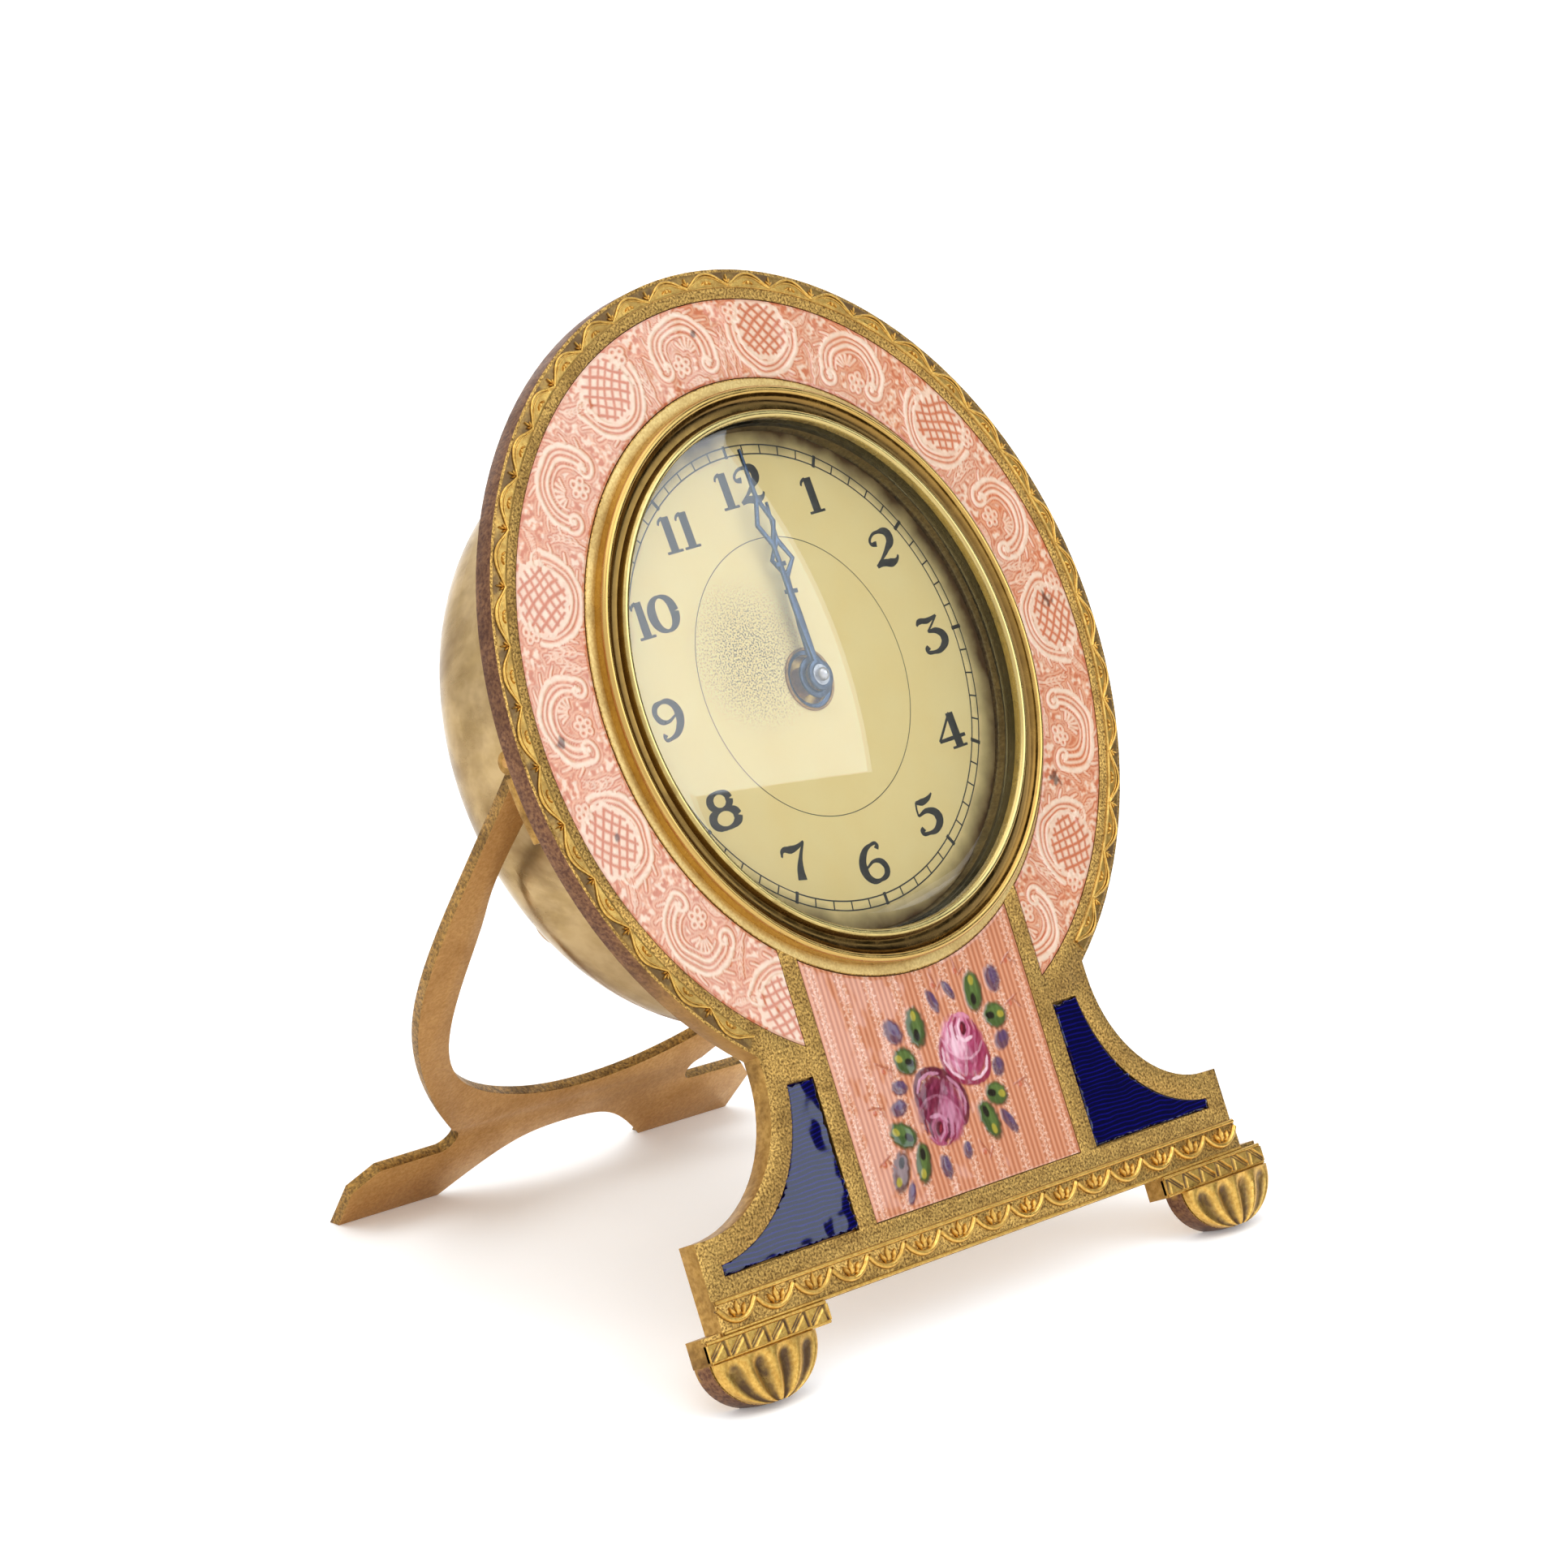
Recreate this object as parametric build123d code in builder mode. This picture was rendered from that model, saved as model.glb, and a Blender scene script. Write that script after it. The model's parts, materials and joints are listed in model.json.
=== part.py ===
from build123d import *
import os
from math import atan2, cos, degrees, radians, sin, sqrt

# A pendulette: an enamelled gilt-brass easel clock with a spring-wound pin-lever movement.
# Millimetres, +Z up, the front faces -Y, the origin is on the floor under the middle of the clock.
# Most pieces are drawn in the plate's own frame: u to the right, v up the plate, w out of its front.

# Lean and rest
lean = 24.0
strut_angle = 58.3
rest_flat = 0.35
cut_overrun = 2.0

# Rings about the dial, from the glass outwards
lip_radius = 23.5
lip_ledge = 0.6
sleeve_wall = 1.6
bore_gap = 0.1
bezel_land = 0.8
ring_land = 1.0
mount_width = 2.2
drum_wall = 0.5
plate_land = 9.35
rim_width = 2.75
sleeve_bore = lip_radius + lip_ledge
sleeve_radius = sleeve_bore + sleeve_wall
plate_bore = sleeve_radius + bore_gap
bezel_radius = sleeve_radius + bezel_land
ring_inner_radius = bezel_radius + ring_land
drum_bore = sleeve_radius + mount_width
drum_radius = drum_bore + drum_wall
plate_radius = drum_radius + plate_land
ring_outer_radius = plate_radius - rim_width

# Front plate and its pedestal, from the ring downwards
plate_thickness = 1.9
base_inset = 2.8
shoulder_curve = 11.9
shoulder_step = 1.45
shoulder_fall = 6.4
base_height = 7.95
moulding_height = 3.0
moulding_relief = 0.25
band_overhang = 2.35
band_width = 14.5
band_lap = 0.4
band_fall = 1.9
band_relief = 0.4
melon_half_width = 6.05
melon_outer_gap = 0.1
melon_depth = 4.6
melon_relief = 0.6
melon_margin = 0.7
base_half_width = plate_radius - base_inset
neck_half_width = base_half_width - shoulder_step - shoulder_curve
shoulder_drop = plate_radius + shoulder_fall
base_drop = shoulder_drop + base_height
band_outer = base_half_width + band_overhang
band_inner = band_outer - band_width
band_top_drop = base_drop - band_lap
band_drop = base_drop + band_fall
foot_drop = band_drop + melon_depth

# Enamel cells
cell_depth = 0.6
panel_half_width = 13.8
panel_margin = 4.6
panel_rail = 2.2
ring_end_gap = 1.95
cobalt_edge = 2.35
cobalt_rise = 10.35
cobalt_curve_gap = 2.4
panel_drop = base_drop - panel_margin
ring_gap_half_width = panel_half_width + ring_end_gap
cobalt_inner = panel_half_width + panel_rail
cobalt_outer = base_half_width - cobalt_edge
cobalt_top_drop = shoulder_drop - cobalt_rise

# Bezel, crystal and dial
bezel_wall_height = 0.9
bead_radius = 0.4
lip_underside = 0.35
cove_drop = 0.4
sleeve_depth = 3.6
crystal_rim_height = 1.0
crystal_dome = 2.8
crystal_thickness = 1.0
rehaut_top_inset = 0.3
rehaut_foot_inset = 1.1
dial_depth = 2.4
dial_thickness = 0.5
dial_hole_radius = 2.25
dial_foot_radius = 0.6
dial_foot_distance = 17.0
eyelet_radius = 2.9
eyelet_bore = 1.65
eyelet_height = 0.25
seat_clearance = 0.02
rehaut_top_radius = lip_radius - rehaut_top_inset
rehaut_foot_radius = lip_radius - rehaut_foot_inset

# Drum case and movement frame
drum_corner = 6.3
back_space = 4.0
motion_gap = 2.7
bridge_thickness = 1.5
pillar_height = 10.0
back_bridge_inset = 3.3
pillar_radius = 1.4
pillar_inset = 1.8
screw_radius = 0.6
screw_head_radius = 1.05
screw_head_height = 0.6
screw_reach = 2.2
screw_slot_width = 0.3
case_screw_inset = 1.25
back_bridge_radius = drum_bore - back_bridge_inset
pillar_distance = back_bridge_radius - pillar_inset
case_screw_distance = drum_bore - case_screw_inset

# Wheelwork
running_clearance = 0.05
end_shake = 0.1
pivot_radius = 0.3
wheel_thickness = 0.5
pinion_overlap = 0.4
tip_height_share = 0.8
root_depth_share = 1.15
tip_half_share = 0.10
root_half_share = 0.30
great_distance = 11.655
great_teeth = 54
centre_leaves = 9
centre_distance = 7.02
centre_teeth = 48
third_leaves = 6
third_distance = 6.63
third_teeth = 45
fourth_leaves = 6
fourth_distance = 6.27
fourth_teeth = 60
escape_leaves = 6
barrel_direction = 30.0
third_direction = 150.0
fourth_direction = 200.0
escape_direction = 250.0
lever_direction = 300.0
balance_direction = 345.0
centre_arbor_radius = 0.6
train_arbor_radius = 0.34

# Motion work and hand setting
setting_direction = 225.0
minute_distance = 6.0
cannon_leaves = 8
minute_teeth = 24
minute_leaves = 8
hour_teeth = 32
intermediate_teeth = 16
setting_teeth = 12
cannon_lift = 0.25
cannon_leaf_length = 1.0
minute_wheel_lift = 0.5
hour_wheel_lift = 1.6
hour_wheel_thickness = 0.6
cannon_tube_radius = 0.95
centre_pin_radius = 0.5
hour_pipe_radius = 1.3
stud_radius = 0.5
stud_head_radius = 0.8
stud_head_height = 0.2
setting_arbor_radius = 0.8
knob_radius = 3.1
knob_neck_length = 3.4
knob_gap = 0.5
knob_neck_radius = 1.9

# Hands, blued steel
hand_thickness = 0.25
hour_hand_lift = 0.75
minute_hand_lift = 1.4
pin_lift = 1.95
minute_hand_length = 21.2
minute_boss_radius = 1.4
minute_diamond_half_width = 1.25
hour_hand_length = 16.2
hour_boss_radius = 1.9
hour_diamond_half_width = 1.5
hand_bar_width = 0.4
minute_hand_turn = 94.5
hour_hand_turn = 88.4

# Barrel, winding and click
barrel_radius = 8.9
barrel_wall = 0.5
great_wheel_thickness = 1.0
barrel_cover_thickness = 0.5
barrel_arbor_radius = 1.2
barrel_hub_radius = 2.0
barrel_pivot_radius = 0.8
mainspring_turns = 5
spiral_steps = 16
mainspring_thickness = 0.2
ratchet_radius = 4.5
ratchet_tooth_depth = 0.55
ratchet_undercut_share = 0.12
ratchet_teeth = 24
ratchet_thickness = 0.7
ratchet_gap = 0.2
click_distance = 8.6
click_direction = 120.0
click_tip_direction = 75.0
click_boss_radius = 1.2
click_tip_height = 0.9
click_gap = 0.05
click_spring_thickness = 0.25
click_spring_gap = 0.75
key_gap = 0.6
key_hub_radius = 2.3
key_height = 9.0
wing_bridge = 1.25
key_thickness = 1.4

# Escapement
escape_radius = 3.6
escape_root_radius = 2.6
escape_teeth = 15
lever_distance = 4.7
pallet_pin_radius = 0.2
pallet_half_angle = 41.0
lever_bar_width = 0.8
lever_hub_radius = 0.8
fork_length = 7.2
fork_half_width = 0.85
fork_notch_half_width = 0.3
fork_notch_depth = 0.9
impulse_radius = 1.8
impulse_pin_radius = 0.2
roller_radius = 2.3
balance_radius = 8.0
balance_rim_width = 1.0
balance_rim_height = 1.0
balance_arm_width = 1.0
staff_radius = 0.5
balance_hub_radius = 1.2
hairspring_turns = 4
hairspring_thickness = 0.12
hairspring_height = 0.5
hairspring_inner_radius = 1.0
hairspring_outer_radius = 4.2
stud_direction = 330.0
regulator_direction = 290.0
regulator_length = 8.5
regulator_ring_radius = 1.8
regulator_boss_radius = 1.0
regulator_thickness = 0.5
regulator_arm_width = 1.2
regulator_slot_half_angle = 16.0
regulator_tab_proud = 0.5
curb_pin_radius = 0.15
curb_gap = 0.2

# Levels of the train between the two movement plates, counted from the front plate
lever_level_share = 0.155
escape_level_share = 0.245
great_level_share = 0.24
fourth_level_share = 0.445
balance_level_share = 0.50
third_level_share = 0.675
hairspring_level_share = 0.695
barrel_end_share = 0.82
centre_level_share = 0.91

# Strut and hinge
hinge_drop = 1.4
hinge_depth = 3.5
strut_thickness = 1.1
hinge_inset = 4.25
arm_overhang = 1.5
leaf_thickness = 0.9
leaf_margin = 0.1
leaf_edge_gap = 0.15
leaf_top_drop = 2.9
leaf_bottom_drop = 8.7
knuckle_radius = 1.0
strut_knuckle_length = 2.0
leaf_knuckle_length = 1.6
knuckle_gap = 0.2
hinge_pin_radius = 0.45
heel_rise = 2.3
heel_gap = 0.05
rivet_radius = 0.55
rivet_inset = 1.7
hinge_middle = plate_radius - hinge_inset
strut_half_span = hinge_middle + arm_overhang
strut_knuckle_inner = hinge_middle - strut_knuckle_length / 2
strut_knuckle_outer = hinge_middle + strut_knuckle_length / 2
knuckle_inner = strut_knuckle_inner - knuckle_gap - leaf_knuckle_length
knuckle_outer = strut_knuckle_outer + knuckle_gap + leaf_knuckle_length
leaf_inner = knuckle_inner - leaf_margin

os.makedirs("parts", exist_ok=True)

# The plate's frame, set so that the ground feet and the strut stand on Z = 0 about the origin
lean_sin = sin(radians(lean))
lean_cos = cos(radians(lean))
strut_tilt = radians(strut_angle - lean)
dial_height = foot_drop * lean_cos + plate_thickness * lean_sin - rest_flat
hinge_height = dial_height - hinge_drop * lean_cos - hinge_depth * lean_sin
strut_length = hinge_height / cos(strut_tilt)
front_reach = foot_drop * lean_sin
hinge_back = hinge_depth * lean_cos - hinge_drop * lean_sin
strut_half_foot = strut_thickness / 2 / cos(strut_tilt)
back_reach = hinge_back + strut_length * sin(strut_tilt) + strut_half_foot
dial_back = (front_reach - back_reach) / 2
dial_centre = (0, dial_back, dial_height)
out_direction = (0, -lean_cos, lean_sin)
up_direction = (0, lean_sin, lean_cos)
face = Plane(origin=dial_centre, x_dir=(1, 0, 0), z_dir=out_direction)
side = Plane(origin=dial_centre, x_dir=(1, 0, 0), z_dir=(0, -lean_sin, -lean_cos))
dial_axis = Axis(dial_centre, out_direction)
hinge_centre = (0, dial_back + hinge_back, hinge_height)
strut_plane = Plane(origin=hinge_centre, x_dir=(1, 0, 0), z_dir=(0, -cos(strut_tilt), -sin(strut_tilt)))
hinge_plane = Plane(origin=hinge_centre, x_dir=up_direction, z_dir=(1, 0, 0))

# Levels behind the front of the plate
plate_back = -plate_thickness
dial_rear = -dial_depth - dial_thickness
front_bridge_front = dial_rear - motion_gap
front_bridge_rear = front_bridge_front - bridge_thickness
back_bridge_front = front_bridge_rear - pillar_height
back_bridge_rear = back_bridge_front - bridge_thickness
drum_depth = drum_wall + back_space - back_bridge_rear


def polar(radius, direction, centre=(0, 0)):
    """A point at a distance and direction from a centre, in the plate's frame."""
    turn = radians(direction)
    return (centre[0] + radius * cos(turn), centre[1] + radius * sin(turn))


def level(share):
    """A height between the movement plates."""
    return front_bridge_rear - pillar_height * share


def gear_outline(teeth, module, phase):
    """Corners of a toothed wheel with straight flanks, one tooth pointing along phase."""
    root = module * (teeth / 2 - root_depth_share)
    tip = module * (teeth / 2 + tip_height_share)
    flank_shares = (-root_half_share, -tip_half_share, tip_half_share, root_half_share)
    corners = zip((root, tip, tip, root), flank_shares)
    pitch = 360 / teeth
    tooth = list(corners)
    return [polar(radius, phase + pitch * (k + turn)) for k in range(teeth) for radius, turn in tooth]


def mate_phase(phase, teeth, mate_teeth, direction):
    """Phase of a wheel that meshes with another, which lies back along direction."""
    lead = (phase - direction) % (360 / teeth)
    return direction + 180 - lead * teeth / mate_teeth + 180 / mate_teeth


def spiral_strip(inner, outer, turns, thickness, start):
    """Outline of a flat spiral spring about its own centre, its outer end at direction start."""
    steps = spiral_steps * turns
    radii = [inner + (outer - inner) * k / steps for k in range(steps + 1)]
    radii += [outer] * (spiral_steps // 4)
    turn = 360 / spiral_steps
    ends = list(enumerate(reversed(radii)))
    outside = [polar(radius + thickness / 2, start - turn * k) for k, radius in ends]
    inside = [polar(radius - thickness / 2, start - turn * k) for k, radius in ends]
    return outside + inside[::-1]


# Tooth sizes and places of the arbors
great_module = 2 * great_distance / (great_teeth + centre_leaves)
centre_module = 2 * centre_distance / (centre_teeth + third_leaves)
third_module = 2 * third_distance / (third_teeth + fourth_leaves)
fourth_module = 2 * fourth_distance / (fourth_teeth + escape_leaves)
cannon_module = 2 * minute_distance / (cannon_leaves + minute_teeth)
hour_module = 2 * minute_distance / (minute_leaves + hour_teeth)
barrel_place = polar(great_distance, barrel_direction)
third_place = polar(centre_distance, third_direction)
fourth_place = polar(third_distance, fourth_direction, third_place)
escape_place = polar(fourth_distance, escape_direction, fourth_place)
lever_place = polar(lever_distance, lever_direction, escape_place)
balance_place = polar(fork_length + impulse_radius, balance_direction, lever_place)
intermediate_distance = cannon_module * (minute_teeth + intermediate_teeth) / 2
setting_distance = cannon_module * (intermediate_teeth + setting_teeth) / 2
minute_place = polar(minute_distance, setting_direction)
intermediate_place = polar(intermediate_distance, setting_direction, minute_place)
setting_place = polar(setting_distance, setting_direction, intermediate_place)
pillar_turns = [75.0 + 90.0 * k for k in range(4)]
pillar_places = [polar(pillar_distance, turn) for turn in pillar_turns]
case_screw_places = [polar(case_screw_distance, 30.0 + 120.0 * k) for k in range(3)]
dial_foot_places = [polar(dial_foot_distance, 60.0 + 120.0 * k) for k in range(3)]
click_place = polar(click_distance, click_direction, barrel_place)

# Enamel cells, drawn once and used for the plate's recesses and for the enamel in them
cobalt_centre = (neck_half_width + shoulder_curve, shoulder_curve - shoulder_drop)
cobalt_size = (cobalt_outer - cobalt_inner, panel_drop - cobalt_top_drop)
cobalt_middle = ((cobalt_outer + cobalt_inner) / 2, -(panel_drop + cobalt_top_drop) / 2)
with BuildSketch(face) as ring_cell:
    Circle(ring_outer_radius)
    Circle(ring_inner_radius, mode=Mode.SUBTRACT)
    with Locations((0, -ring_outer_radius / 2)):
        Rectangle(2 * ring_gap_half_width, ring_outer_radius, mode=Mode.SUBTRACT)
with BuildSketch(face) as panel_cell:
    with Locations((0, -panel_drop / 2)):
        Rectangle(2 * panel_half_width, panel_drop)
    Circle(ring_inner_radius, mode=Mode.SUBTRACT)
with BuildSketch(face) as cobalt_right_cell:
    with Locations(cobalt_middle):
        Rectangle(*cobalt_size)
    with Locations(cobalt_centre):
        Circle(shoulder_curve + cobalt_curve_gap, mode=Mode.SUBTRACT)
with BuildSketch(face) as cobalt_left_cell:
    with Locations((-cobalt_middle[0], cobalt_middle[1])):
        Rectangle(*cobalt_size)
    with Locations((-cobalt_centre[0], cobalt_centre[1])):
        Circle(shoulder_curve + cobalt_curve_gap, mode=Mode.SUBTRACT)
cells = {
    "enamel_ring": ring_cell,
    "enamel_panel": panel_cell,
    "enamel_cobalt_left": cobalt_left_cell,
    "enamel_cobalt_right": cobalt_right_cell,
}

# Front plate: ring, pedestal and feet in one piece, with the cells cut into its front
melon_middle = band_outer - melon_outer_gap - melon_half_width
melon_centre = (melon_middle, -band_drop)
pillow_half_width = melon_half_width - melon_margin
pillow_depth = melon_depth - melon_margin
shoulder_top = shoulder_curve - shoulder_drop
with BuildPart() as front_plate:
    with BuildSketch(face.offset(plate_back)):
        Circle(plate_radius)
        with BuildLine():
            Polyline(
                (0, -neck_half_width),
                (neck_half_width, -neck_half_width),
                (neck_half_width, shoulder_top),
            )
            CenterArc((neck_half_width + shoulder_curve, shoulder_top), shoulder_curve, 180, 90)
            Polyline(
                (neck_half_width + shoulder_curve, -shoulder_drop),
                (base_half_width, -shoulder_drop),
                (base_half_width, -base_drop),
                (0, -base_drop),
                (0, -neck_half_width),
            )
        make_face()
        with Locations(((band_inner + band_outer) / 2, -(band_top_drop + band_drop) / 2)):
            Rectangle(band_outer - band_inner, band_drop - band_top_drop)
        with BuildLine():
            EllipticalCenterArc(melon_centre, melon_half_width, melon_depth, 180, arc_size=180)
            Line(
                (melon_middle - melon_half_width, -band_drop),
                (melon_middle + melon_half_width, -band_drop),
            )
        make_face()
        mirror(about=Plane.YZ)
    extrude(amount=plate_thickness)
    with BuildSketch(face):
        with Locations((0, -base_drop + moulding_height / 2)):
            Rectangle(2 * base_half_width, moulding_height)
    extrude(amount=moulding_relief)
    with BuildSketch(face):
        with Locations(((band_inner + band_outer) / 2, -(base_drop + band_drop) / 2)):
            Rectangle(band_outer - band_inner, band_drop - base_drop)
        mirror(about=Plane.YZ)
    extrude(amount=band_relief)
    with BuildSketch(face):
        with BuildLine():
            EllipticalCenterArc(melon_centre, pillow_half_width, pillow_depth, 180, arc_size=180)
            Line(
                (melon_middle - pillow_half_width, -band_drop),
                (melon_middle + pillow_half_width, -band_drop),
            )
        make_face()
        mirror(about=Plane.YZ)
    extrude(amount=melon_relief)
    with BuildSketch(face.offset(plate_back - cut_overrun)):
        Circle(plate_bore)
    extrude(amount=plate_thickness + 2 * cut_overrun, mode=Mode.SUBTRACT)
    for cell in cells.values():
        extrude(cell.sketch, amount=-cell_depth, mode=Mode.SUBTRACT)
    split(bisect_by=Plane.XY, keep=Keep.TOP)
front_plate.part.label = "front_plate"
export_step(front_plate.part, "parts/front_plate.step")

# Enamel, fused into the cells and ground flush with the metal
for name, cell in cells.items():
    with BuildPart() as enamel:
        extrude(cell.sketch, amount=-cell_depth)
    enamel.part.label = name
    export_step(enamel.part, f"parts/{name}.step")

# Bezel: a turned ring with two beads and a cove between, and a sleeve through the plate
outer_bead_middle = bezel_radius - bead_radius
inner_bead_middle = lip_radius + bead_radius
cove_middle = (outer_bead_middle + inner_bead_middle) / 2
with BuildPart() as bezel:
    with BuildSketch(side):
        with BuildLine():
            Line((bezel_radius, 0), (bezel_radius, bezel_wall_height))
            CenterArc((outer_bead_middle, bezel_wall_height), bead_radius, 0, 180)
            ThreePointArc(
                (outer_bead_middle - bead_radius, bezel_wall_height),
                (cove_middle, bezel_wall_height - cove_drop),
                (inner_bead_middle + bead_radius, bezel_wall_height),
            )
            CenterArc((inner_bead_middle, bezel_wall_height), bead_radius, 0, 180)
            Polyline(
                (lip_radius, bezel_wall_height),
                (lip_radius, lip_underside),
                (sleeve_bore, lip_underside),
                (sleeve_bore, -sleeve_depth),
                (sleeve_radius, -sleeve_depth),
                (sleeve_radius, 0),
                (bezel_radius, 0),
            )
        make_face()
    revolve(axis=dial_axis)
bezel.part.label = "bezel"
export_step(bezel.part, "parts/bezel.step")

# Crystal: a domed glass whose rim sits under the bezel's lip
crystal_radius = sleeve_bore - seat_clearance
crystal_top = lip_underside - seat_clearance
crystal_foot = crystal_top - crystal_rim_height
dome_edge = lip_radius - 2 * seat_clearance
dome_curve = (dome_edge**2 + crystal_dome**2) / (2 * crystal_dome)
bowl_edge = rehaut_top_radius
dome_top = crystal_top + crystal_dome
bowl_top = dome_top - crystal_thickness
bowl_rise = bowl_top - crystal_foot
bowl_curve = (bowl_edge**2 + bowl_rise**2) / (2 * bowl_rise)
dome_half = dome_edge / 2
bowl_half = bowl_edge / 2
dome_half_height = dome_top - dome_curve + sqrt(dome_curve**2 - dome_half**2)
bowl_half_height = bowl_top - bowl_curve + sqrt(bowl_curve**2 - bowl_half**2)
with BuildPart() as crystal:
    with BuildSketch(side):
        with BuildLine():
            ThreePointArc((0, dome_top), (dome_half, dome_half_height), (dome_edge, crystal_top))
            Polyline(
                (dome_edge, crystal_top),
                (crystal_radius, crystal_top),
                (crystal_radius, crystal_foot),
                (bowl_edge, crystal_foot),
            )
            ThreePointArc((bowl_edge, crystal_foot), (bowl_half, bowl_half_height), (0, bowl_top))
            Line((0, bowl_top), (0, dome_top))
        make_face()
    revolve(axis=dial_axis)
crystal.part.label = "crystal"
export_step(crystal.part, "parts/crystal.step")

# Rehaut: the sloped ring between the crystal and the dial
rehaut_top = crystal_foot - seat_clearance
rehaut_foot = -dial_depth + seat_clearance
with BuildPart() as dial_ring:
    with BuildSketch(side):
        Polygon(
            (rehaut_top_radius, rehaut_top),
            (crystal_radius, rehaut_top),
            (crystal_radius, rehaut_foot),
            (rehaut_foot_radius, rehaut_foot),
            align=None,
        )
    revolve(axis=dial_axis)
dial_ring.part.label = "dial_ring"
export_step(dial_ring.part, "parts/dial_ring.step")

# Dial with its three feet, which stand in the front movement plate
dial_foot_hole = dial_foot_radius + seat_clearance
with BuildPart() as dial:
    with BuildSketch(face.offset(dial_rear)):
        Circle(crystal_radius)
        Circle(dial_hole_radius, mode=Mode.SUBTRACT)
    extrude(amount=dial_thickness)
    with BuildSketch(face.offset(front_bridge_rear)):
        with Locations(*dial_foot_places):
            Circle(dial_foot_radius)
    extrude(amount=dial_rear - front_bridge_rear)
dial.part.label = "dial"
export_step(dial.part, "parts/dial.step")

# Eyelet in the middle of the dial
with BuildPart() as dial_eyelet:
    with BuildSketch(face.offset(-dial_depth)):
        Circle(eyelet_radius)
        Circle(eyelet_bore, mode=Mode.SUBTRACT)
    extrude(amount=eyelet_height)
    with BuildSketch(face.offset(dial_rear)):
        Circle(dial_hole_radius - seat_clearance)
        Circle(eyelet_bore, mode=Mode.SUBTRACT)
    extrude(amount=dial_thickness)
dial_eyelet.part.label = "dial_eyelet"
export_step(dial_eyelet.part, "parts/dial_eyelet.step")

# Drum case: a pressed cup behind the plate, with holes for key, knob and regulator
regulator_tab_place = polar(regulator_length, regulator_direction, balance_place)
slot_start = regulator_direction - regulator_slot_half_angle
slot_sweep = 2 * regulator_slot_half_angle
tab_slot = CenterArc(balance_place, regulator_length, slot_start, slot_sweep)
curb_slot = CenterArc(balance_place, hairspring_outer_radius, slot_start, slot_sweep)
regulator_tab_radius = regulator_arm_width / 2 - running_clearance
with BuildPart() as drum_case:
    with BuildSketch(face.offset(-drum_depth)):
        Circle(drum_radius)
    extrude(amount=drum_depth - plate_thickness)
    fillet(drum_case.edges().filter_by(GeomType.CIRCLE).sort_by(dial_axis)[0], drum_corner)
    offset(amount=-drum_wall, openings=drum_case.faces().sort_by(dial_axis)[-1])
    with BuildSketch(face.offset(-drum_depth - cut_overrun)):
        with Locations(barrel_place):
            Circle(barrel_arbor_radius + end_shake)
        with Locations(setting_place):
            Circle(setting_arbor_radius + end_shake)
        SlotArc(tab_slot, height=regulator_arm_width + 2 * end_shake)
    extrude(amount=drum_wall + 2 * cut_overrun, mode=Mode.SUBTRACT)
drum_case.part.label = "drum_case"
export_step(drum_case.part, "parts/drum_case.step")

# Movement ring: fast in the drum's mouth, it grips the bezel's sleeve and carries the movement
with BuildPart() as movement_ring:
    with BuildSketch(face.offset(front_bridge_front)):
        Circle(drum_bore - seat_clearance)
        Circle(sleeve_radius + seat_clearance, mode=Mode.SUBTRACT)
        with Locations(*case_screw_places):
            Circle(screw_radius + seat_clearance, mode=Mode.SUBTRACT)
    extrude(amount=plate_back - front_bridge_front)
movement_ring.part.label = "movement_ring"
export_step(movement_ring.part, "parts/movement_ring.step")

# Movement plates, bored for every arbor, stud, foot and screw
train_places = (third_place, fourth_place, escape_place, lever_place, balance_place)
pivot_hole = pivot_radius + running_clearance
front_holes = [(place, pivot_hole) for place in train_places]
front_holes += [((0, 0), centre_arbor_radius + running_clearance)]
front_holes += [(barrel_place, barrel_pivot_radius + running_clearance)]
front_holes += [(setting_place, setting_arbor_radius + running_clearance)]
front_holes += [(place, stud_radius + seat_clearance) for place in (minute_place, intermediate_place)]
front_holes += [(place, dial_foot_hole) for place in dial_foot_places]
front_holes += [(place, screw_radius + seat_clearance) for place in case_screw_places]
with BuildPart() as front_bridge:
    with BuildSketch(face.offset(front_bridge_rear)):
        Circle(drum_bore - end_shake)
        for place, radius in front_holes:
            with Locations(place):
                Circle(radius, mode=Mode.SUBTRACT)
    extrude(amount=bridge_thickness)
front_bridge.part.label = "front_movement_plate"
export_step(front_bridge.part, "parts/front_movement_plate.step")

hairspring_stud_place = polar(hairspring_outer_radius, stud_direction, balance_place)
back_holes = [(place, pivot_hole) for place in ((0, 0),) + train_places]
back_holes += [(barrel_place, barrel_arbor_radius + running_clearance)]
back_holes += [(setting_place, setting_arbor_radius + running_clearance)]
back_holes += [(place, screw_radius + seat_clearance) for place in pillar_places]
back_holes += [(click_place, screw_radius + seat_clearance)]
back_holes += [(hairspring_stud_place, stud_radius + seat_clearance)]
curb_slot_width = 4 * curb_pin_radius + 2 * curb_gap + hairspring_thickness + 2 * end_shake
with BuildPart() as back_bridge:
    with BuildSketch(face.offset(back_bridge_rear)):
        Circle(back_bridge_radius)
        for place, radius in back_holes:
            with Locations(place):
                Circle(radius, mode=Mode.SUBTRACT)
        SlotArc(curb_slot, height=curb_slot_width, mode=Mode.SUBTRACT)
    extrude(amount=bridge_thickness)
    with BuildSketch(face.offset(back_bridge_rear)):
        with Locations(balance_place):
            Circle(regulator_boss_radius)
            Circle(pivot_hole, mode=Mode.SUBTRACT)
    extrude(amount=-end_shake - regulator_thickness)
back_bridge.part.label = "back_movement_plate"
export_step(back_bridge.part, "parts/back_movement_plate.step")

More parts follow.
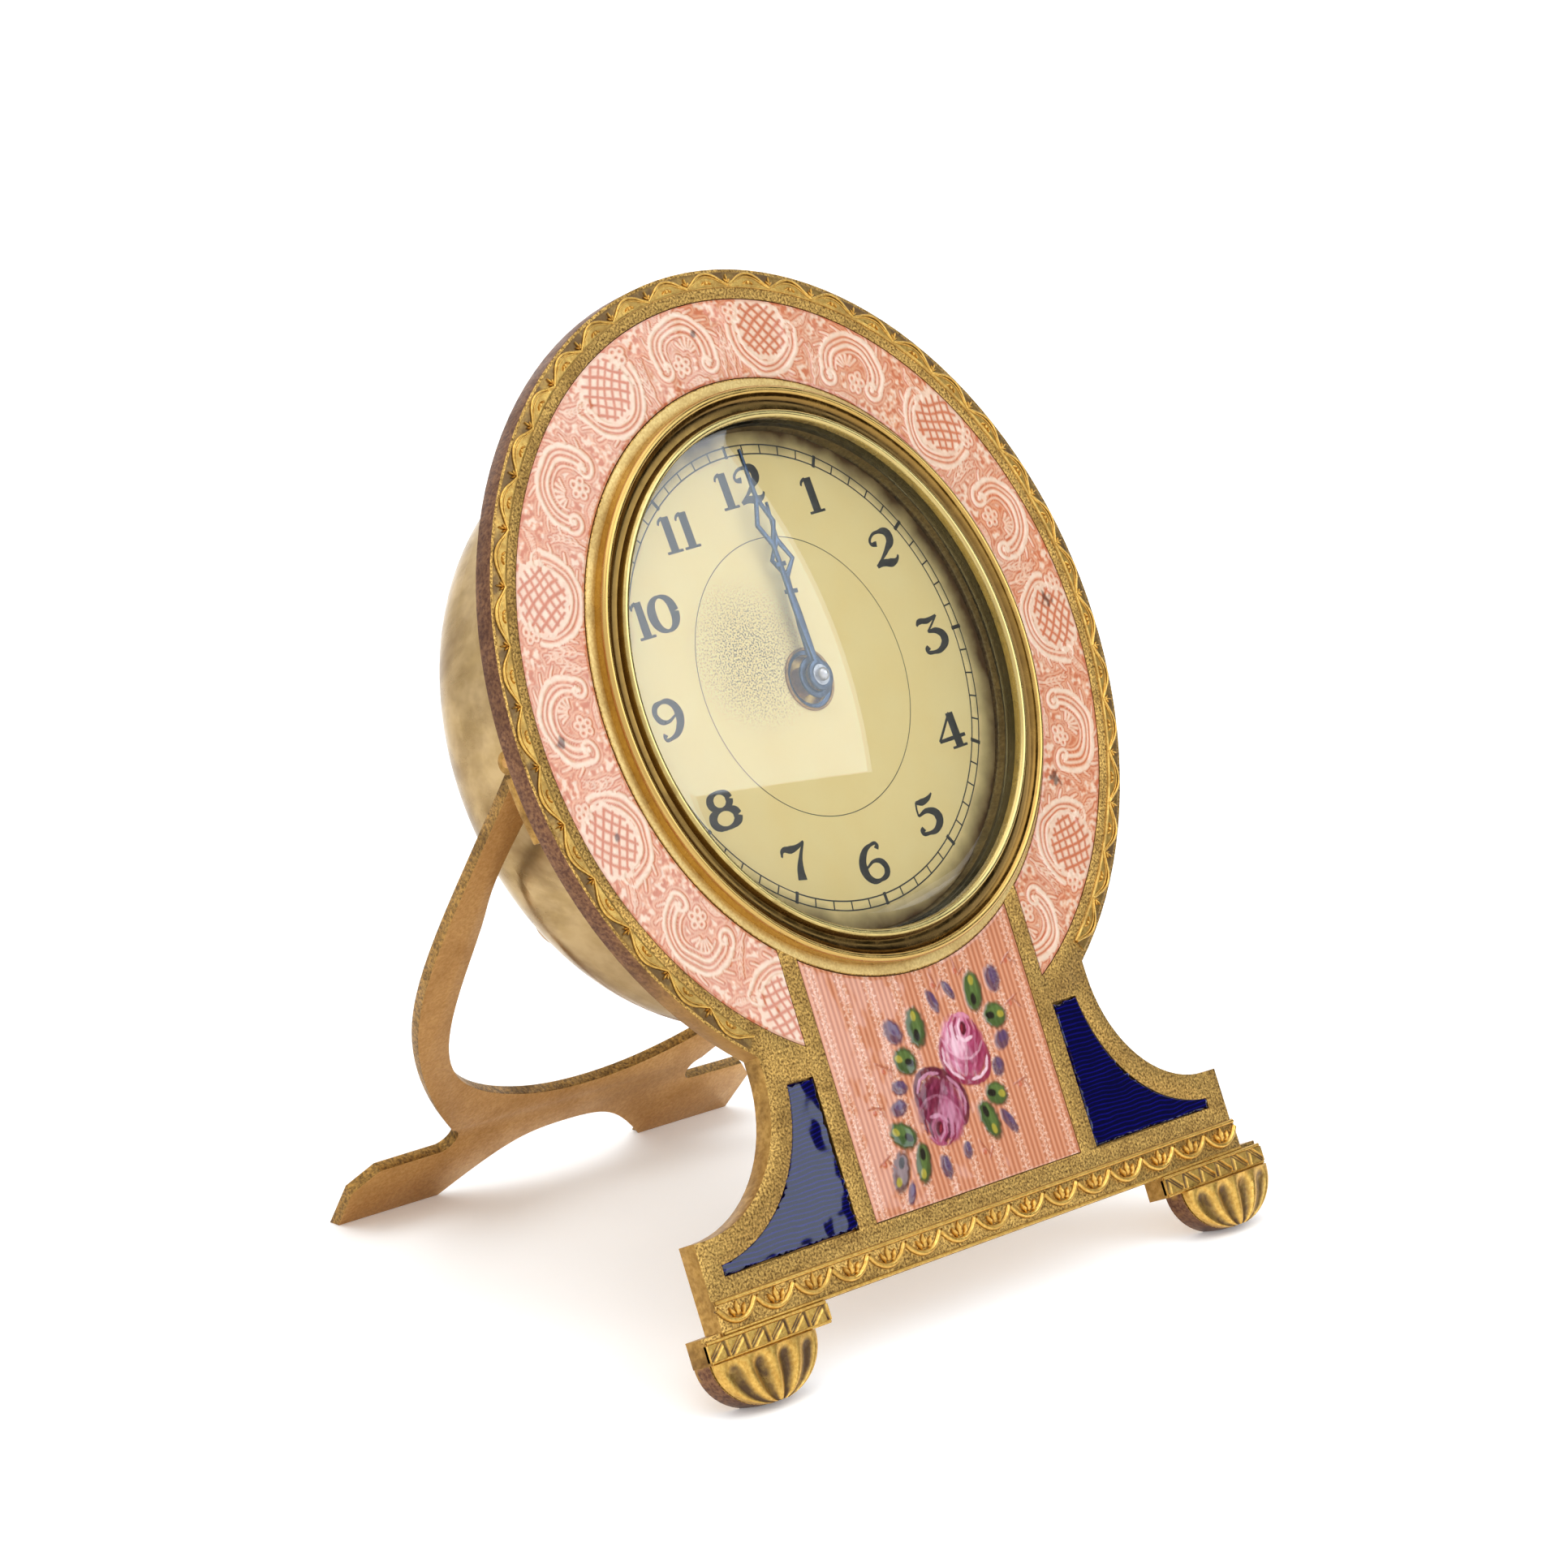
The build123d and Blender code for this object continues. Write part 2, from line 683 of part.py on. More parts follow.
# Pillars between the plates, and slotted screws
with BuildPart() as pillars:
    with BuildSketch(face.offset(back_bridge_front)):
        with Locations(*pillar_places):
            Circle(pillar_radius)
    extrude(amount=pillar_height)
    with BuildSketch(face.offset(back_bridge_front)):
        with Locations(*pillar_places):
            Circle(screw_radius + seat_clearance)
    extrude(amount=screw_reach + end_shake, mode=Mode.SUBTRACT)
pillars.part.label = "pillars"
export_step(pillars.part, "parts/pillars.step")

screw_sets = {
    "pillar_screws": (pillar_places, back_bridge_rear, bridge_thickness + screw_reach),
    "case_screws": (case_screw_places, front_bridge_rear, bridge_thickness + screw_reach),
}
for name, (places, seat, length) in screw_sets.items():
    with BuildPart() as screws:
        with BuildSketch(face.offset(seat)):
            with Locations(*places):
                Circle(screw_radius)
        extrude(amount=length)
        with BuildSketch(face.offset(seat)):
            with Locations(*places):
                Circle(screw_head_radius)
        extrude(amount=-screw_head_height)
        with BuildSketch(face.offset(seat - screw_head_height)):
            with Locations(*places):
                Rectangle(2 * screw_head_radius, screw_slot_width)
        extrude(amount=screw_head_height / 2, mode=Mode.SUBTRACT)
    screws.part.label = name
    export_step(screws.part, f"parts/{name}.step")

# Going train: each wheel is fast on an arbor with its pinion and turns on two pivots
great_phase = barrel_direction + 180
centre_phase = mate_phase(great_phase, great_teeth, centre_leaves, barrel_direction + 180)
third_phase = mate_phase(centre_phase, centre_teeth, third_leaves, third_direction)
fourth_phase = mate_phase(third_phase, third_teeth, fourth_leaves, fourth_direction)
escape_phase = mate_phase(fourth_phase, fourth_teeth, escape_leaves, escape_direction)
train = {
    "third_wheel": (third_place, third_phase, third_teeth, third_module, third_level_share,
                    third_leaves, centre_module, centre_level_share),
    "fourth_wheel": (fourth_place, fourth_phase, fourth_teeth, fourth_module, fourth_level_share,
                     fourth_leaves, third_module, third_level_share),
}
pinion_length = wheel_thickness + 2 * pinion_overlap
pivot_reach = bridge_thickness + end_shake
for name, (place, phase, teeth, module, wheel_share, leaves, leaf_module, leaf_share) in train.items():
    with BuildPart() as train_wheel:
        with BuildSketch(face.offset(level(wheel_share) - wheel_thickness / 2)):
            with Locations(place):
                Polygon(*gear_outline(teeth, module, phase), align=None)
        extrude(amount=wheel_thickness)
        with BuildSketch(face.offset(level(leaf_share) - pinion_length / 2)):
            with Locations(place):
                Polygon(*gear_outline(leaves, leaf_module, phase), align=None)
        extrude(amount=pinion_length)
        with BuildSketch(face.offset(back_bridge_front + end_shake)):
            with Locations(place):
                Circle(train_arbor_radius)
        extrude(amount=pillar_height - 2 * end_shake)
        with BuildSketch(face.offset(back_bridge_front - bridge_thickness)):
            with Locations(place):
                Circle(pivot_radius)
        extrude(amount=pillar_height + 2 * bridge_thickness)
    train_wheel.part.label = name
    export_step(train_wheel.part, f"parts/{name}.step")

# Centre wheel: its arbor reaches through the dial and shows as the pin in the middle of the hands
pin_tip = -dial_depth + pin_lift
cannon_foot = front_bridge_front + cannon_lift
with BuildPart() as centre_wheel:
    with BuildSketch(face.offset(level(centre_level_share) - wheel_thickness / 2)):
        Polygon(*gear_outline(centre_teeth, centre_module, centre_phase), align=None)
    extrude(amount=wheel_thickness)
    with BuildSketch(face.offset(level(great_level_share) - great_wheel_thickness / 2 - pinion_overlap)):
        Polygon(*gear_outline(centre_leaves, great_module, centre_phase), align=None)
    extrude(amount=great_wheel_thickness + 2 * pinion_overlap)
    with BuildSketch(face.offset(back_bridge_front + end_shake)):
        Circle(centre_arbor_radius)
    extrude(amount=front_bridge_front - back_bridge_front - end_shake)
    with BuildSketch(face.offset(back_bridge_rear)):
        Circle(pivot_radius)
    extrude(amount=bridge_thickness + 2 * end_shake)
    with BuildSketch(face.offset(front_bridge_front - end_shake)):
        Circle(centre_pin_radius)
    extrude(amount=pin_tip - front_bridge_front + end_shake)
centre_wheel.part.label = "centre_wheel"
export_step(centre_wheel.part, "parts/centre_wheel.step")

# Escape wheel: pointed teeth, one of them towards the lever
escape_pitch = 360 / escape_teeth
escape_turn_shares = (-0.42, -0.04, 0.04, 0.30)
escape_radii = (escape_root_radius, escape_radius, escape_radius, escape_root_radius)
escape_outline = [
    polar(radius, lever_direction + escape_pitch * (tooth + turn))
    for tooth in range(escape_teeth)
    for radius, turn in zip(escape_radii, escape_turn_shares)
]
with BuildPart() as escape_wheel:
    with BuildSketch(face.offset(level(escape_level_share) - wheel_thickness / 2)):
        with Locations(escape_place):
            Polygon(*escape_outline, align=None)
    extrude(amount=wheel_thickness)
    with BuildSketch(face.offset(level(fourth_level_share) - pinion_length / 2)):
        with Locations(escape_place):
            Polygon(*gear_outline(escape_leaves, fourth_module, escape_phase), align=None)
    extrude(amount=pinion_length)
    with BuildSketch(face.offset(back_bridge_front + end_shake)):
        with Locations(escape_place):
            Circle(train_arbor_radius)
    extrude(amount=pillar_height - 2 * end_shake)
    with BuildSketch(face.offset(back_bridge_rear)):
        with Locations(escape_place):
            Circle(pivot_radius)
    extrude(amount=pillar_height + 2 * bridge_thickness)
escape_wheel.part.label = "escape_wheel"
export_step(escape_wheel.part, "parts/escape_wheel.step")

# Lever: two pallet pins over the escape wheel and a fork for the balance's impulse pin
pallet_circle = escape_radius + pallet_pin_radius + running_clearance
pallet_places = [
    polar(pallet_circle, lever_direction + turn, escape_place)
    for turn in (-pallet_half_angle, pallet_half_angle)
]
fork_end = fork_length + impulse_pin_radius + running_clearance
fork_place = polar(fork_end - fork_half_width, balance_direction, lever_place)
fork_mouth = polar(fork_end, balance_direction, lever_place)
lever_foot = level(lever_level_share) - wheel_thickness / 2
pallet_pin_foot = level(escape_level_share) - wheel_thickness / 2 - end_shake
with BuildPart() as pallet_lever:
    with BuildSketch(face.offset(lever_foot)):
        with BuildLine():
            for place in pallet_places:
                Line(lever_place, place)
            Line(lever_place, fork_place)
        trace(line_width=lever_bar_width)
        with Locations(lever_place):
            Circle(lever_hub_radius)
        with Locations(*pallet_places):
            Circle(lever_bar_width / 2)
        with Locations(Location(fork_place, balance_direction)):
            Rectangle(2 * fork_half_width, 2 * fork_half_width)
        with Locations(Location(fork_mouth, balance_direction)):
            Rectangle(2 * fork_notch_depth, 2 * fork_notch_half_width, mode=Mode.SUBTRACT)
    extrude(amount=wheel_thickness)
    with BuildSketch(face.offset(pallet_pin_foot)):
        with Locations(*pallet_places):
            Circle(pallet_pin_radius)
    extrude(amount=lever_foot - pallet_pin_foot)
    with BuildSketch(face.offset(back_bridge_front + end_shake)):
        with Locations(lever_place):
            Circle(train_arbor_radius)
    extrude(amount=pillar_height - 2 * end_shake)
    with BuildSketch(face.offset(back_bridge_rear)):
        with Locations(lever_place):
            Circle(pivot_radius)
    extrude(amount=pillar_height + 2 * bridge_thickness)
pallet_lever.part.label = "pallet_lever"
export_step(pallet_lever.part, "parts/pallet_lever.step")

# Balance: a rim on two arms, and the staff with roller and impulse pin
rim_foot = level(balance_level_share) - balance_rim_height / 2
arm_foot = level(balance_level_share) - wheel_thickness / 2
with BuildPart() as balance_wheel:
    with BuildSketch(face.offset(rim_foot)):
        with Locations(balance_place):
            Circle(balance_radius)
            Circle(balance_radius - balance_rim_width, mode=Mode.SUBTRACT)
    extrude(amount=balance_rim_height)
    with BuildSketch(face.offset(arm_foot)):
        with Locations(balance_place):
            Rectangle(2 * balance_radius - balance_rim_width, balance_arm_width)
            Circle(balance_hub_radius)
            Circle(staff_radius, mode=Mode.SUBTRACT)
    extrude(amount=wheel_thickness)
balance_wheel.part.label = "balance_wheel"
export_step(balance_wheel.part, "parts/balance_wheel.step")

roller_foot = lever_foot - end_shake - wheel_thickness
impulse_place = polar(impulse_radius, balance_direction + 180, balance_place)
with BuildPart() as balance_staff:
    with BuildSketch(face.offset(back_bridge_front + end_shake)):
        with Locations(balance_place):
            Circle(staff_radius)
    extrude(amount=pillar_height - 2 * end_shake)
    with BuildSketch(face.offset(back_bridge_rear)):
        with Locations(balance_place):
            Circle(pivot_radius)
    extrude(amount=pillar_height + 2 * bridge_thickness)
    with BuildSketch(face.offset(roller_foot)):
        with Locations(balance_place):
            Circle(roller_radius)
    extrude(amount=wheel_thickness)
    with BuildSketch(face.offset(roller_foot)):
        with Locations(impulse_place):
            Circle(impulse_pin_radius)
    extrude(amount=2 * wheel_thickness + 2 * end_shake)
balance_staff.part.label = "balance_staff"
export_step(balance_staff.part, "parts/balance_staff.step")

# Hairspring, its stud and the regulator, whose two curb pins embrace the outer coil
hairspring_foot = level(hairspring_level_share) - hairspring_height / 2
hairspring_points = spiral_strip(
    hairspring_inner_radius, hairspring_outer_radius, hairspring_turns, hairspring_thickness, stud_direction
)
with BuildPart() as hairspring:
    with BuildSketch(face.offset(hairspring_foot)):
        with Locations(balance_place):
            Polygon(*hairspring_points, align=None)
    extrude(amount=hairspring_height)
hairspring.part.label = "hairspring"
export_step(hairspring.part, "parts/hairspring.step")

with BuildPart() as hairspring_stud:
    with BuildSketch(face.offset(back_bridge_rear)):
        with Locations(hairspring_stud_place):
            Circle(stud_radius)
    extrude(amount=hairspring_foot - back_bridge_rear)
hairspring_stud.part.label = "hairspring_stud"
export_step(hairspring_stud.part, "parts/hairspring_stud.step")

regulator_front = back_bridge_rear - end_shake
regulator_rear = regulator_front - regulator_thickness
curb_offset = hairspring_thickness / 2 + curb_gap + curb_pin_radius
curb_radii = (hairspring_outer_radius - curb_offset, hairspring_outer_radius + curb_offset)
curb_places = [polar(radius, regulator_direction, balance_place) for radius in curb_radii]
with BuildPart() as regulator:
    with BuildSketch(face.offset(regulator_rear)):
        with BuildLine():
            Line(balance_place, regulator_tab_place)
        trace(line_width=regulator_arm_width)
        with Locations(balance_place):
            Circle(regulator_ring_radius)
            Circle(regulator_boss_radius + running_clearance, mode=Mode.SUBTRACT)
        with Locations(regulator_tab_place):
            Circle(regulator_arm_width / 2)
    extrude(amount=regulator_thickness)
    with BuildSketch(face.offset(-drum_depth - regulator_tab_proud)):
        with Locations(regulator_tab_place):
            Circle(regulator_tab_radius)
    extrude(amount=drum_depth + regulator_tab_proud + regulator_rear)
    with BuildSketch(face.offset(regulator_front)):
        with Locations(*curb_places):
            Circle(curb_pin_radius)
    extrude(amount=hairspring_foot + hairspring_height - regulator_front)
regulator.part.label = "regulator"
export_step(regulator.part, "parts/regulator.step")

# Barrel: a cup with the great wheel on its front, the cover, the spring and the arbor
great_foot = level(great_level_share) - great_wheel_thickness / 2
barrel_rear = level(barrel_end_share)
barrel_bore = barrel_radius - barrel_wall
cover_radius = barrel_bore - seat_clearance
spring_foot = barrel_rear + barrel_cover_thickness + end_shake
spring_height = great_foot - end_shake - spring_foot
arbor_hole = barrel_arbor_radius + running_clearance
with BuildPart() as barrel:
    with BuildSketch(face.offset(great_foot)):
        with Locations(barrel_place):
            Polygon(*gear_outline(great_teeth, great_module, great_phase), align=None)
            Circle(arbor_hole, mode=Mode.SUBTRACT)
    extrude(amount=great_wheel_thickness)
    with BuildSketch(face.offset(barrel_rear)):
        with Locations(barrel_place):
            Circle(barrel_radius)
            Circle(barrel_bore, mode=Mode.SUBTRACT)
    extrude(amount=great_foot - barrel_rear)
barrel.part.label = "barrel"
export_step(barrel.part, "parts/barrel.step")

with BuildPart() as barrel_cover:
    with BuildSketch(face.offset(barrel_rear)):
        with Locations(barrel_place):
            Circle(cover_radius)
            Circle(arbor_hole, mode=Mode.SUBTRACT)
    extrude(amount=barrel_cover_thickness)
barrel_cover.part.label = "barrel_cover"
export_step(barrel_cover.part, "parts/barrel_cover.step")

mainspring_inner = barrel_hub_radius + mainspring_thickness / 2 + running_clearance
mainspring_outer = barrel_bore - mainspring_thickness / 2 - running_clearance
mainspring_points = spiral_strip(
    mainspring_inner, mainspring_outer, mainspring_turns, mainspring_thickness, barrel_direction
)
with BuildPart() as mainspring:
    with BuildSketch(face.offset(spring_foot)):
        with Locations(barrel_place):
            Polygon(*mainspring_points, align=None)
    extrude(amount=spring_height)
mainspring.part.label = "mainspring"
export_step(mainspring.part, "parts/mainspring.step")

ratchet_front = back_bridge_rear - ratchet_gap
ratchet_rear = ratchet_front - ratchet_thickness
key_front = -drum_depth - key_gap
key_rear = key_front - key_height
with BuildPart() as barrel_arbor:
    with BuildSketch(face.offset(key_rear + key_height / 2)):
        with Locations(barrel_place):
            Circle(barrel_arbor_radius)
    extrude(amount=front_bridge_rear - end_shake - key_rear - key_height / 2)
    with BuildSketch(face.offset(spring_foot)):
        with Locations(barrel_place):
            Circle(barrel_hub_radius)
    extrude(amount=spring_height)
    with BuildSketch(face.offset(front_bridge_rear - end_shake)):
        with Locations(barrel_place):
            Circle(barrel_pivot_radius)
    extrude(amount=pivot_reach)
barrel_arbor.part.label = "barrel_arbor"
export_step(barrel_arbor.part, "parts/barrel_arbor.step")

ratchet_root = ratchet_radius - ratchet_tooth_depth
ratchet_pitch = 360 / ratchet_teeth
ratchet_outline = [
    polar(radius, click_tip_direction + ratchet_pitch * (tooth + turn), barrel_place)
    for tooth in range(ratchet_teeth)
    for radius, turn in ((ratchet_radius, 0), (ratchet_root, ratchet_undercut_share))
]
with BuildPart() as ratchet_wheel:
    with BuildSketch(face.offset(ratchet_rear)):
        Polygon(*ratchet_outline, align=None)
        with Locations(barrel_place):
            Circle(barrel_arbor_radius, mode=Mode.SUBTRACT)
    extrude(amount=ratchet_thickness)
ratchet_wheel.part.label = "ratchet_wheel"
export_step(ratchet_wheel.part, "parts/ratchet_wheel.step")

# Click: shown at the crest of a ratchet tooth, as it stands while the key is turned
click_tip = polar(ratchet_radius + click_gap, click_tip_direction, barrel_place)
click_tip_top = polar(ratchet_radius + click_gap + click_tip_height, click_tip_direction, barrel_place)
click_run = degrees(atan2(click_tip[1] - click_place[1], click_tip[0] - click_place[0]))
click_low = polar(click_boss_radius, click_run - 90, click_place)
click_high = polar(click_boss_radius, click_run + 90, click_place)
with BuildPart() as click:
    with BuildSketch(face.offset(ratchet_rear)):
        Polygon(click_tip, click_tip_top, click_high, click_low, align=None)
        with Locations(click_place):
            Circle(click_boss_radius)
            Circle(screw_radius + running_clearance, mode=Mode.SUBTRACT)
    extrude(amount=ratchet_thickness)
click.part.label = "click"
export_step(click.part, "parts/click.step")

with BuildPart() as click_screw:
    with BuildSketch(face.offset(ratchet_rear - end_shake)):
        with Locations(click_place):
            Circle(screw_radius)
    extrude(amount=back_bridge_front - ratchet_rear + end_shake)
    with BuildSketch(face.offset(ratchet_rear - end_shake)):
        with Locations(click_place):
            Circle(screw_head_radius)
    extrude(amount=-screw_head_height)
    with BuildSketch(face.offset(ratchet_rear - end_shake - screw_head_height)):
        with Locations(click_place):
            Rectangle(2 * screw_head_radius, screw_slot_width)
    extrude(amount=screw_head_height / 2, mode=Mode.SUBTRACT)
click_screw.part.label = "click_screw"
export_step(click_screw.part, "parts/click_screw.step")

# Click spring: a bent strip on its own post beside the click
spring_lift = click_tip_height + click_spring_gap
spring_end = polar(ratchet_radius + click_gap + spring_lift, click_tip_direction, barrel_place)
spring_clear = click_boss_radius + click_spring_gap + click_spring_thickness
spring_bend = polar(spring_clear, click_run + 90, click_place)
spring_post = polar(2 * click_boss_radius + click_spring_gap, click_run + 150, click_place)
with BuildPart() as click_spring:
    with BuildSketch(face.offset(ratchet_rear)):
        with BuildLine():
            Polyline(spring_end, spring_bend, spring_post)
        trace(line_width=click_spring_thickness)
        with Locations(spring_post):
            Circle(stud_radius)
    extrude(amount=back_bridge_rear - ratchet_rear)
click_spring.part.label = "click_spring"
export_step(click_spring.part, "parts/click_spring.step")

# Winding key: a hub on the arbor with two pierced wings
key_centre = face.from_local_coords((barrel_place[0], barrel_place[1], key_rear + key_height / 2))
key_plane = Plane(origin=key_centre, x_dir=(1, 0, 0), z_dir=up_direction)
wing_radius = key_height / 2
wing_reach = wing_radius / 2 + wing_bridge
with BuildPart() as winding_key:
    with BuildSketch(face.offset(key_rear + key_height / 2)):
        with Locations(barrel_place):
            Circle(key_hub_radius)
    extrude(amount=key_height / 2)
    with BuildSketch(key_plane.offset(-key_thickness / 2)):
        with Locations((-wing_reach, 0), (wing_reach, 0)):
            Circle(wing_radius)
        Rectangle(2 * wing_reach, key_hub_radius * 2)
        with Locations((-wing_reach, 0), (wing_reach, 0)):
            Circle(wing_radius / 2, mode=Mode.SUBTRACT)
    extrude(amount=key_thickness)
    with BuildSketch(face.offset(key_rear + key_height / 2)):
        with Locations(barrel_place):
            Circle(barrel_arbor_radius)
    extrude(amount=key_height, mode=Mode.SUBTRACT)
winding_key.part.label = "winding_key"
export_step(winding_key.part, "parts/winding_key.step")

# Motion work in front of the front movement plate
minute_foot = front_bridge_front + minute_wheel_lift
hour_foot = front_bridge_front + hour_wheel_lift
cannon_phase = setting_direction
minute_phase = mate_phase(cannon_phase, cannon_leaves, minute_teeth, setting_direction)
hour_phase = mate_phase(minute_phase, minute_leaves, hour_teeth, setting_direction + 180)
intermediate_phase = mate_phase(minute_phase, minute_teeth, intermediate_teeth, setting_direction)
setting_phase = mate_phase(intermediate_phase, intermediate_teeth, setting_teeth, setting_direction)
minute_hand_foot = -dial_depth + minute_hand_lift
hour_hand_foot = -dial_depth + hour_hand_lift
cannon_bore = centre_pin_radius + running_clearance
with BuildPart() as cannon_pinion:
    with BuildSketch(face.offset(cannon_foot)):
        Polygon(*gear_outline(cannon_leaves, cannon_module, cannon_phase), align=None)
        Circle(cannon_bore, mode=Mode.SUBTRACT)
    extrude(amount=cannon_leaf_length)
    with BuildSketch(face.offset(cannon_foot)):
        Circle(cannon_tube_radius)
        Circle(cannon_bore, mode=Mode.SUBTRACT)
    extrude(amount=minute_hand_foot + hand_thickness - cannon_foot)
cannon_pinion.part.label = "cannon_pinion"
export_step(cannon_pinion.part, "parts/cannon_pinion.step")

hour_bore = cannon_tube_radius + running_clearance
with BuildPart() as hour_wheel:
    with BuildSketch(face.offset(hour_foot)):
        Polygon(*gear_outline(hour_teeth, hour_module, hour_phase), align=None)
        Circle(hour_bore, mode=Mode.SUBTRACT)
    extrude(amount=hour_wheel_thickness)
    with BuildSketch(face.offset(hour_foot)):
        Circle(hour_pipe_radius)
        Circle(hour_bore, mode=Mode.SUBTRACT)
    extrude(amount=hour_hand_foot + hand_thickness - hour_foot)
hour_wheel.part.label = "hour_wheel"
export_step(hour_wheel.part, "parts/hour_wheel.step")

stud_bore = stud_radius + running_clearance
minute_wheel_top = minute_foot + wheel_thickness
minute_pinion_top = hour_foot + hour_wheel_thickness + end_shake
with BuildPart() as minute_wheel:
    with BuildSketch(face.offset(minute_foot)):
        with Locations(minute_place):
            Polygon(*gear_outline(minute_teeth, cannon_module, minute_phase), align=None)
            Circle(stud_bore, mode=Mode.SUBTRACT)
    extrude(amount=wheel_thickness)
    with BuildSketch(face.offset(minute_wheel_top)):
        with Locations(minute_place):
            Polygon(*gear_outline(minute_leaves, hour_module, minute_phase), align=None)
            Circle(stud_bore, mode=Mode.SUBTRACT)
    extrude(amount=minute_pinion_top - minute_wheel_top)
minute_wheel.part.label = "minute_wheel"
export_step(minute_wheel.part, "parts/minute_wheel.step")

with BuildPart() as intermediate_wheel:
    with BuildSketch(face.offset(minute_foot)):
        with Locations(intermediate_place):
            Polygon(*gear_outline(intermediate_teeth, cannon_module, intermediate_phase), align=None)
            Circle(stud_bore, mode=Mode.SUBTRACT)
    extrude(amount=wheel_thickness)
intermediate_wheel.part.label = "setting_intermediate_wheel"
export_step(intermediate_wheel.part, "parts/setting_intermediate_wheel.step")

with BuildPart() as motion_studs:
    for place, top in ((minute_place, minute_pinion_top), (intermediate_place, minute_wheel_top)):
        with BuildSketch(face.offset(front_bridge_rear)):
            with Locations(place):
                Circle(stud_radius)
        extrude(amount=top + end_shake - front_bridge_rear)
        with BuildSketch(face.offset(top + end_shake)):
            with Locations(place):
                Circle(stud_head_radius)
        extrude(amount=stud_head_height)
motion_studs.part.label = "motion_studs"
export_step(motion_studs.part, "parts/motion_studs.step")

knob_front = -drum_depth - knob_gap
knob_shoulder = knob_front - knob_neck_length
with BuildPart() as setting_arbor:
    with BuildSketch(face.offset(minute_foot)):
        with Locations(setting_place):
            Polygon(*gear_outline(setting_teeth, cannon_module, setting_phase), align=None)
    extrude(amount=wheel_thickness)
    with BuildSketch(face.offset(knob_shoulder)):
        with Locations(setting_place):
            Circle(setting_arbor_radius)
    extrude(amount=minute_foot - knob_shoulder)
setting_arbor.part.label = "setting_arbor"
export_step(setting_arbor.part, "parts/setting_arbor.step")

# Setting knob: a turned button with a domed end
knob_plane = Plane(origin=face.from_local_coords((*setting_place, 0)), x_dir=(1, 0, 0), z_dir=side.z_dir)
knob_axis = Axis(knob_plane.origin, out_direction)
with BuildPart() as setting_knob:
    with BuildSketch(knob_plane):
        with BuildLine():
            Polyline(
                (0, knob_shoulder - knob_radius),
                (0, knob_shoulder),
                (setting_arbor_radius, knob_shoulder),
                (setting_arbor_radius, knob_front),
                (knob_neck_radius, knob_front),
                (knob_radius, knob_shoulder),
            )
            CenterArc((0, knob_shoulder), knob_radius, 270, 90)
        make_face()
    revolve(axis=knob_axis)
setting_knob.part.label = "setting_knob"
export_step(setting_knob.part, "parts/setting_knob.step")

# Hands: openwork, each with a boss, a slim blade, a crosspiece, a diamond frame and a spear tip
belly_share = 0.28
cross_share = 0.49
diamond_foot_share = 0.575
diamond_share = 0.672
diamond_head_share = 0.787
hands = {
    "minute_hand": (minute_hand_foot, minute_hand_length, minute_boss_radius, minute_diamond_half_width,
                    cannon_tube_radius, minute_hand_turn),
    "hour_hand": (hour_hand_foot, hour_hand_length, hour_boss_radius, hour_diamond_half_width,
                  hour_pipe_radius, hour_hand_turn),
}
for name, (foot, length, boss, diamond, bore, turn) in hands.items():
    belly = length * belly_share
    cross = length * cross_share
    low = length * diamond_foot_share
    widest = length * diamond_share
    high = length * diamond_head_share
    bar = hand_bar_width
    with BuildPart() as hand:
        with BuildSketch(face.offset(foot)):
            with Locations(Location((0, 0), turn)):
                Circle(boss)
                Polygon((0, bar / 2), (belly, bar), (cross, bar / 2), (low, bar / 2),
                        (low, -bar / 2), (cross, -bar / 2), (belly, -bar), (0, -bar / 2), align=None)
                Polygon((cross - bar / 2, diamond / 2), (cross + bar / 2, diamond / 2),
                        (cross + bar / 2, -diamond / 2), (cross - bar / 2, -diamond / 2), align=None)
                Polygon((low - bar, 0), (widest, diamond), (high + bar, 0), (widest, -diamond), align=None)
                Polygon((low + bar, 0), (widest, diamond - bar), (high - bar, 0), (widest, bar - diamond),
                        align=None, mode=Mode.SUBTRACT)
                Polygon((high - bar, bar / 2), (length, bar / 4), (length, -bar / 4), (high - bar, -bar / 2),
                        align=None)
                Circle(bore, mode=Mode.SUBTRACT)
        extrude(amount=hand_thickness)
    hand.part.label = name
    export_step(hand.part, f"parts/{name}.step")

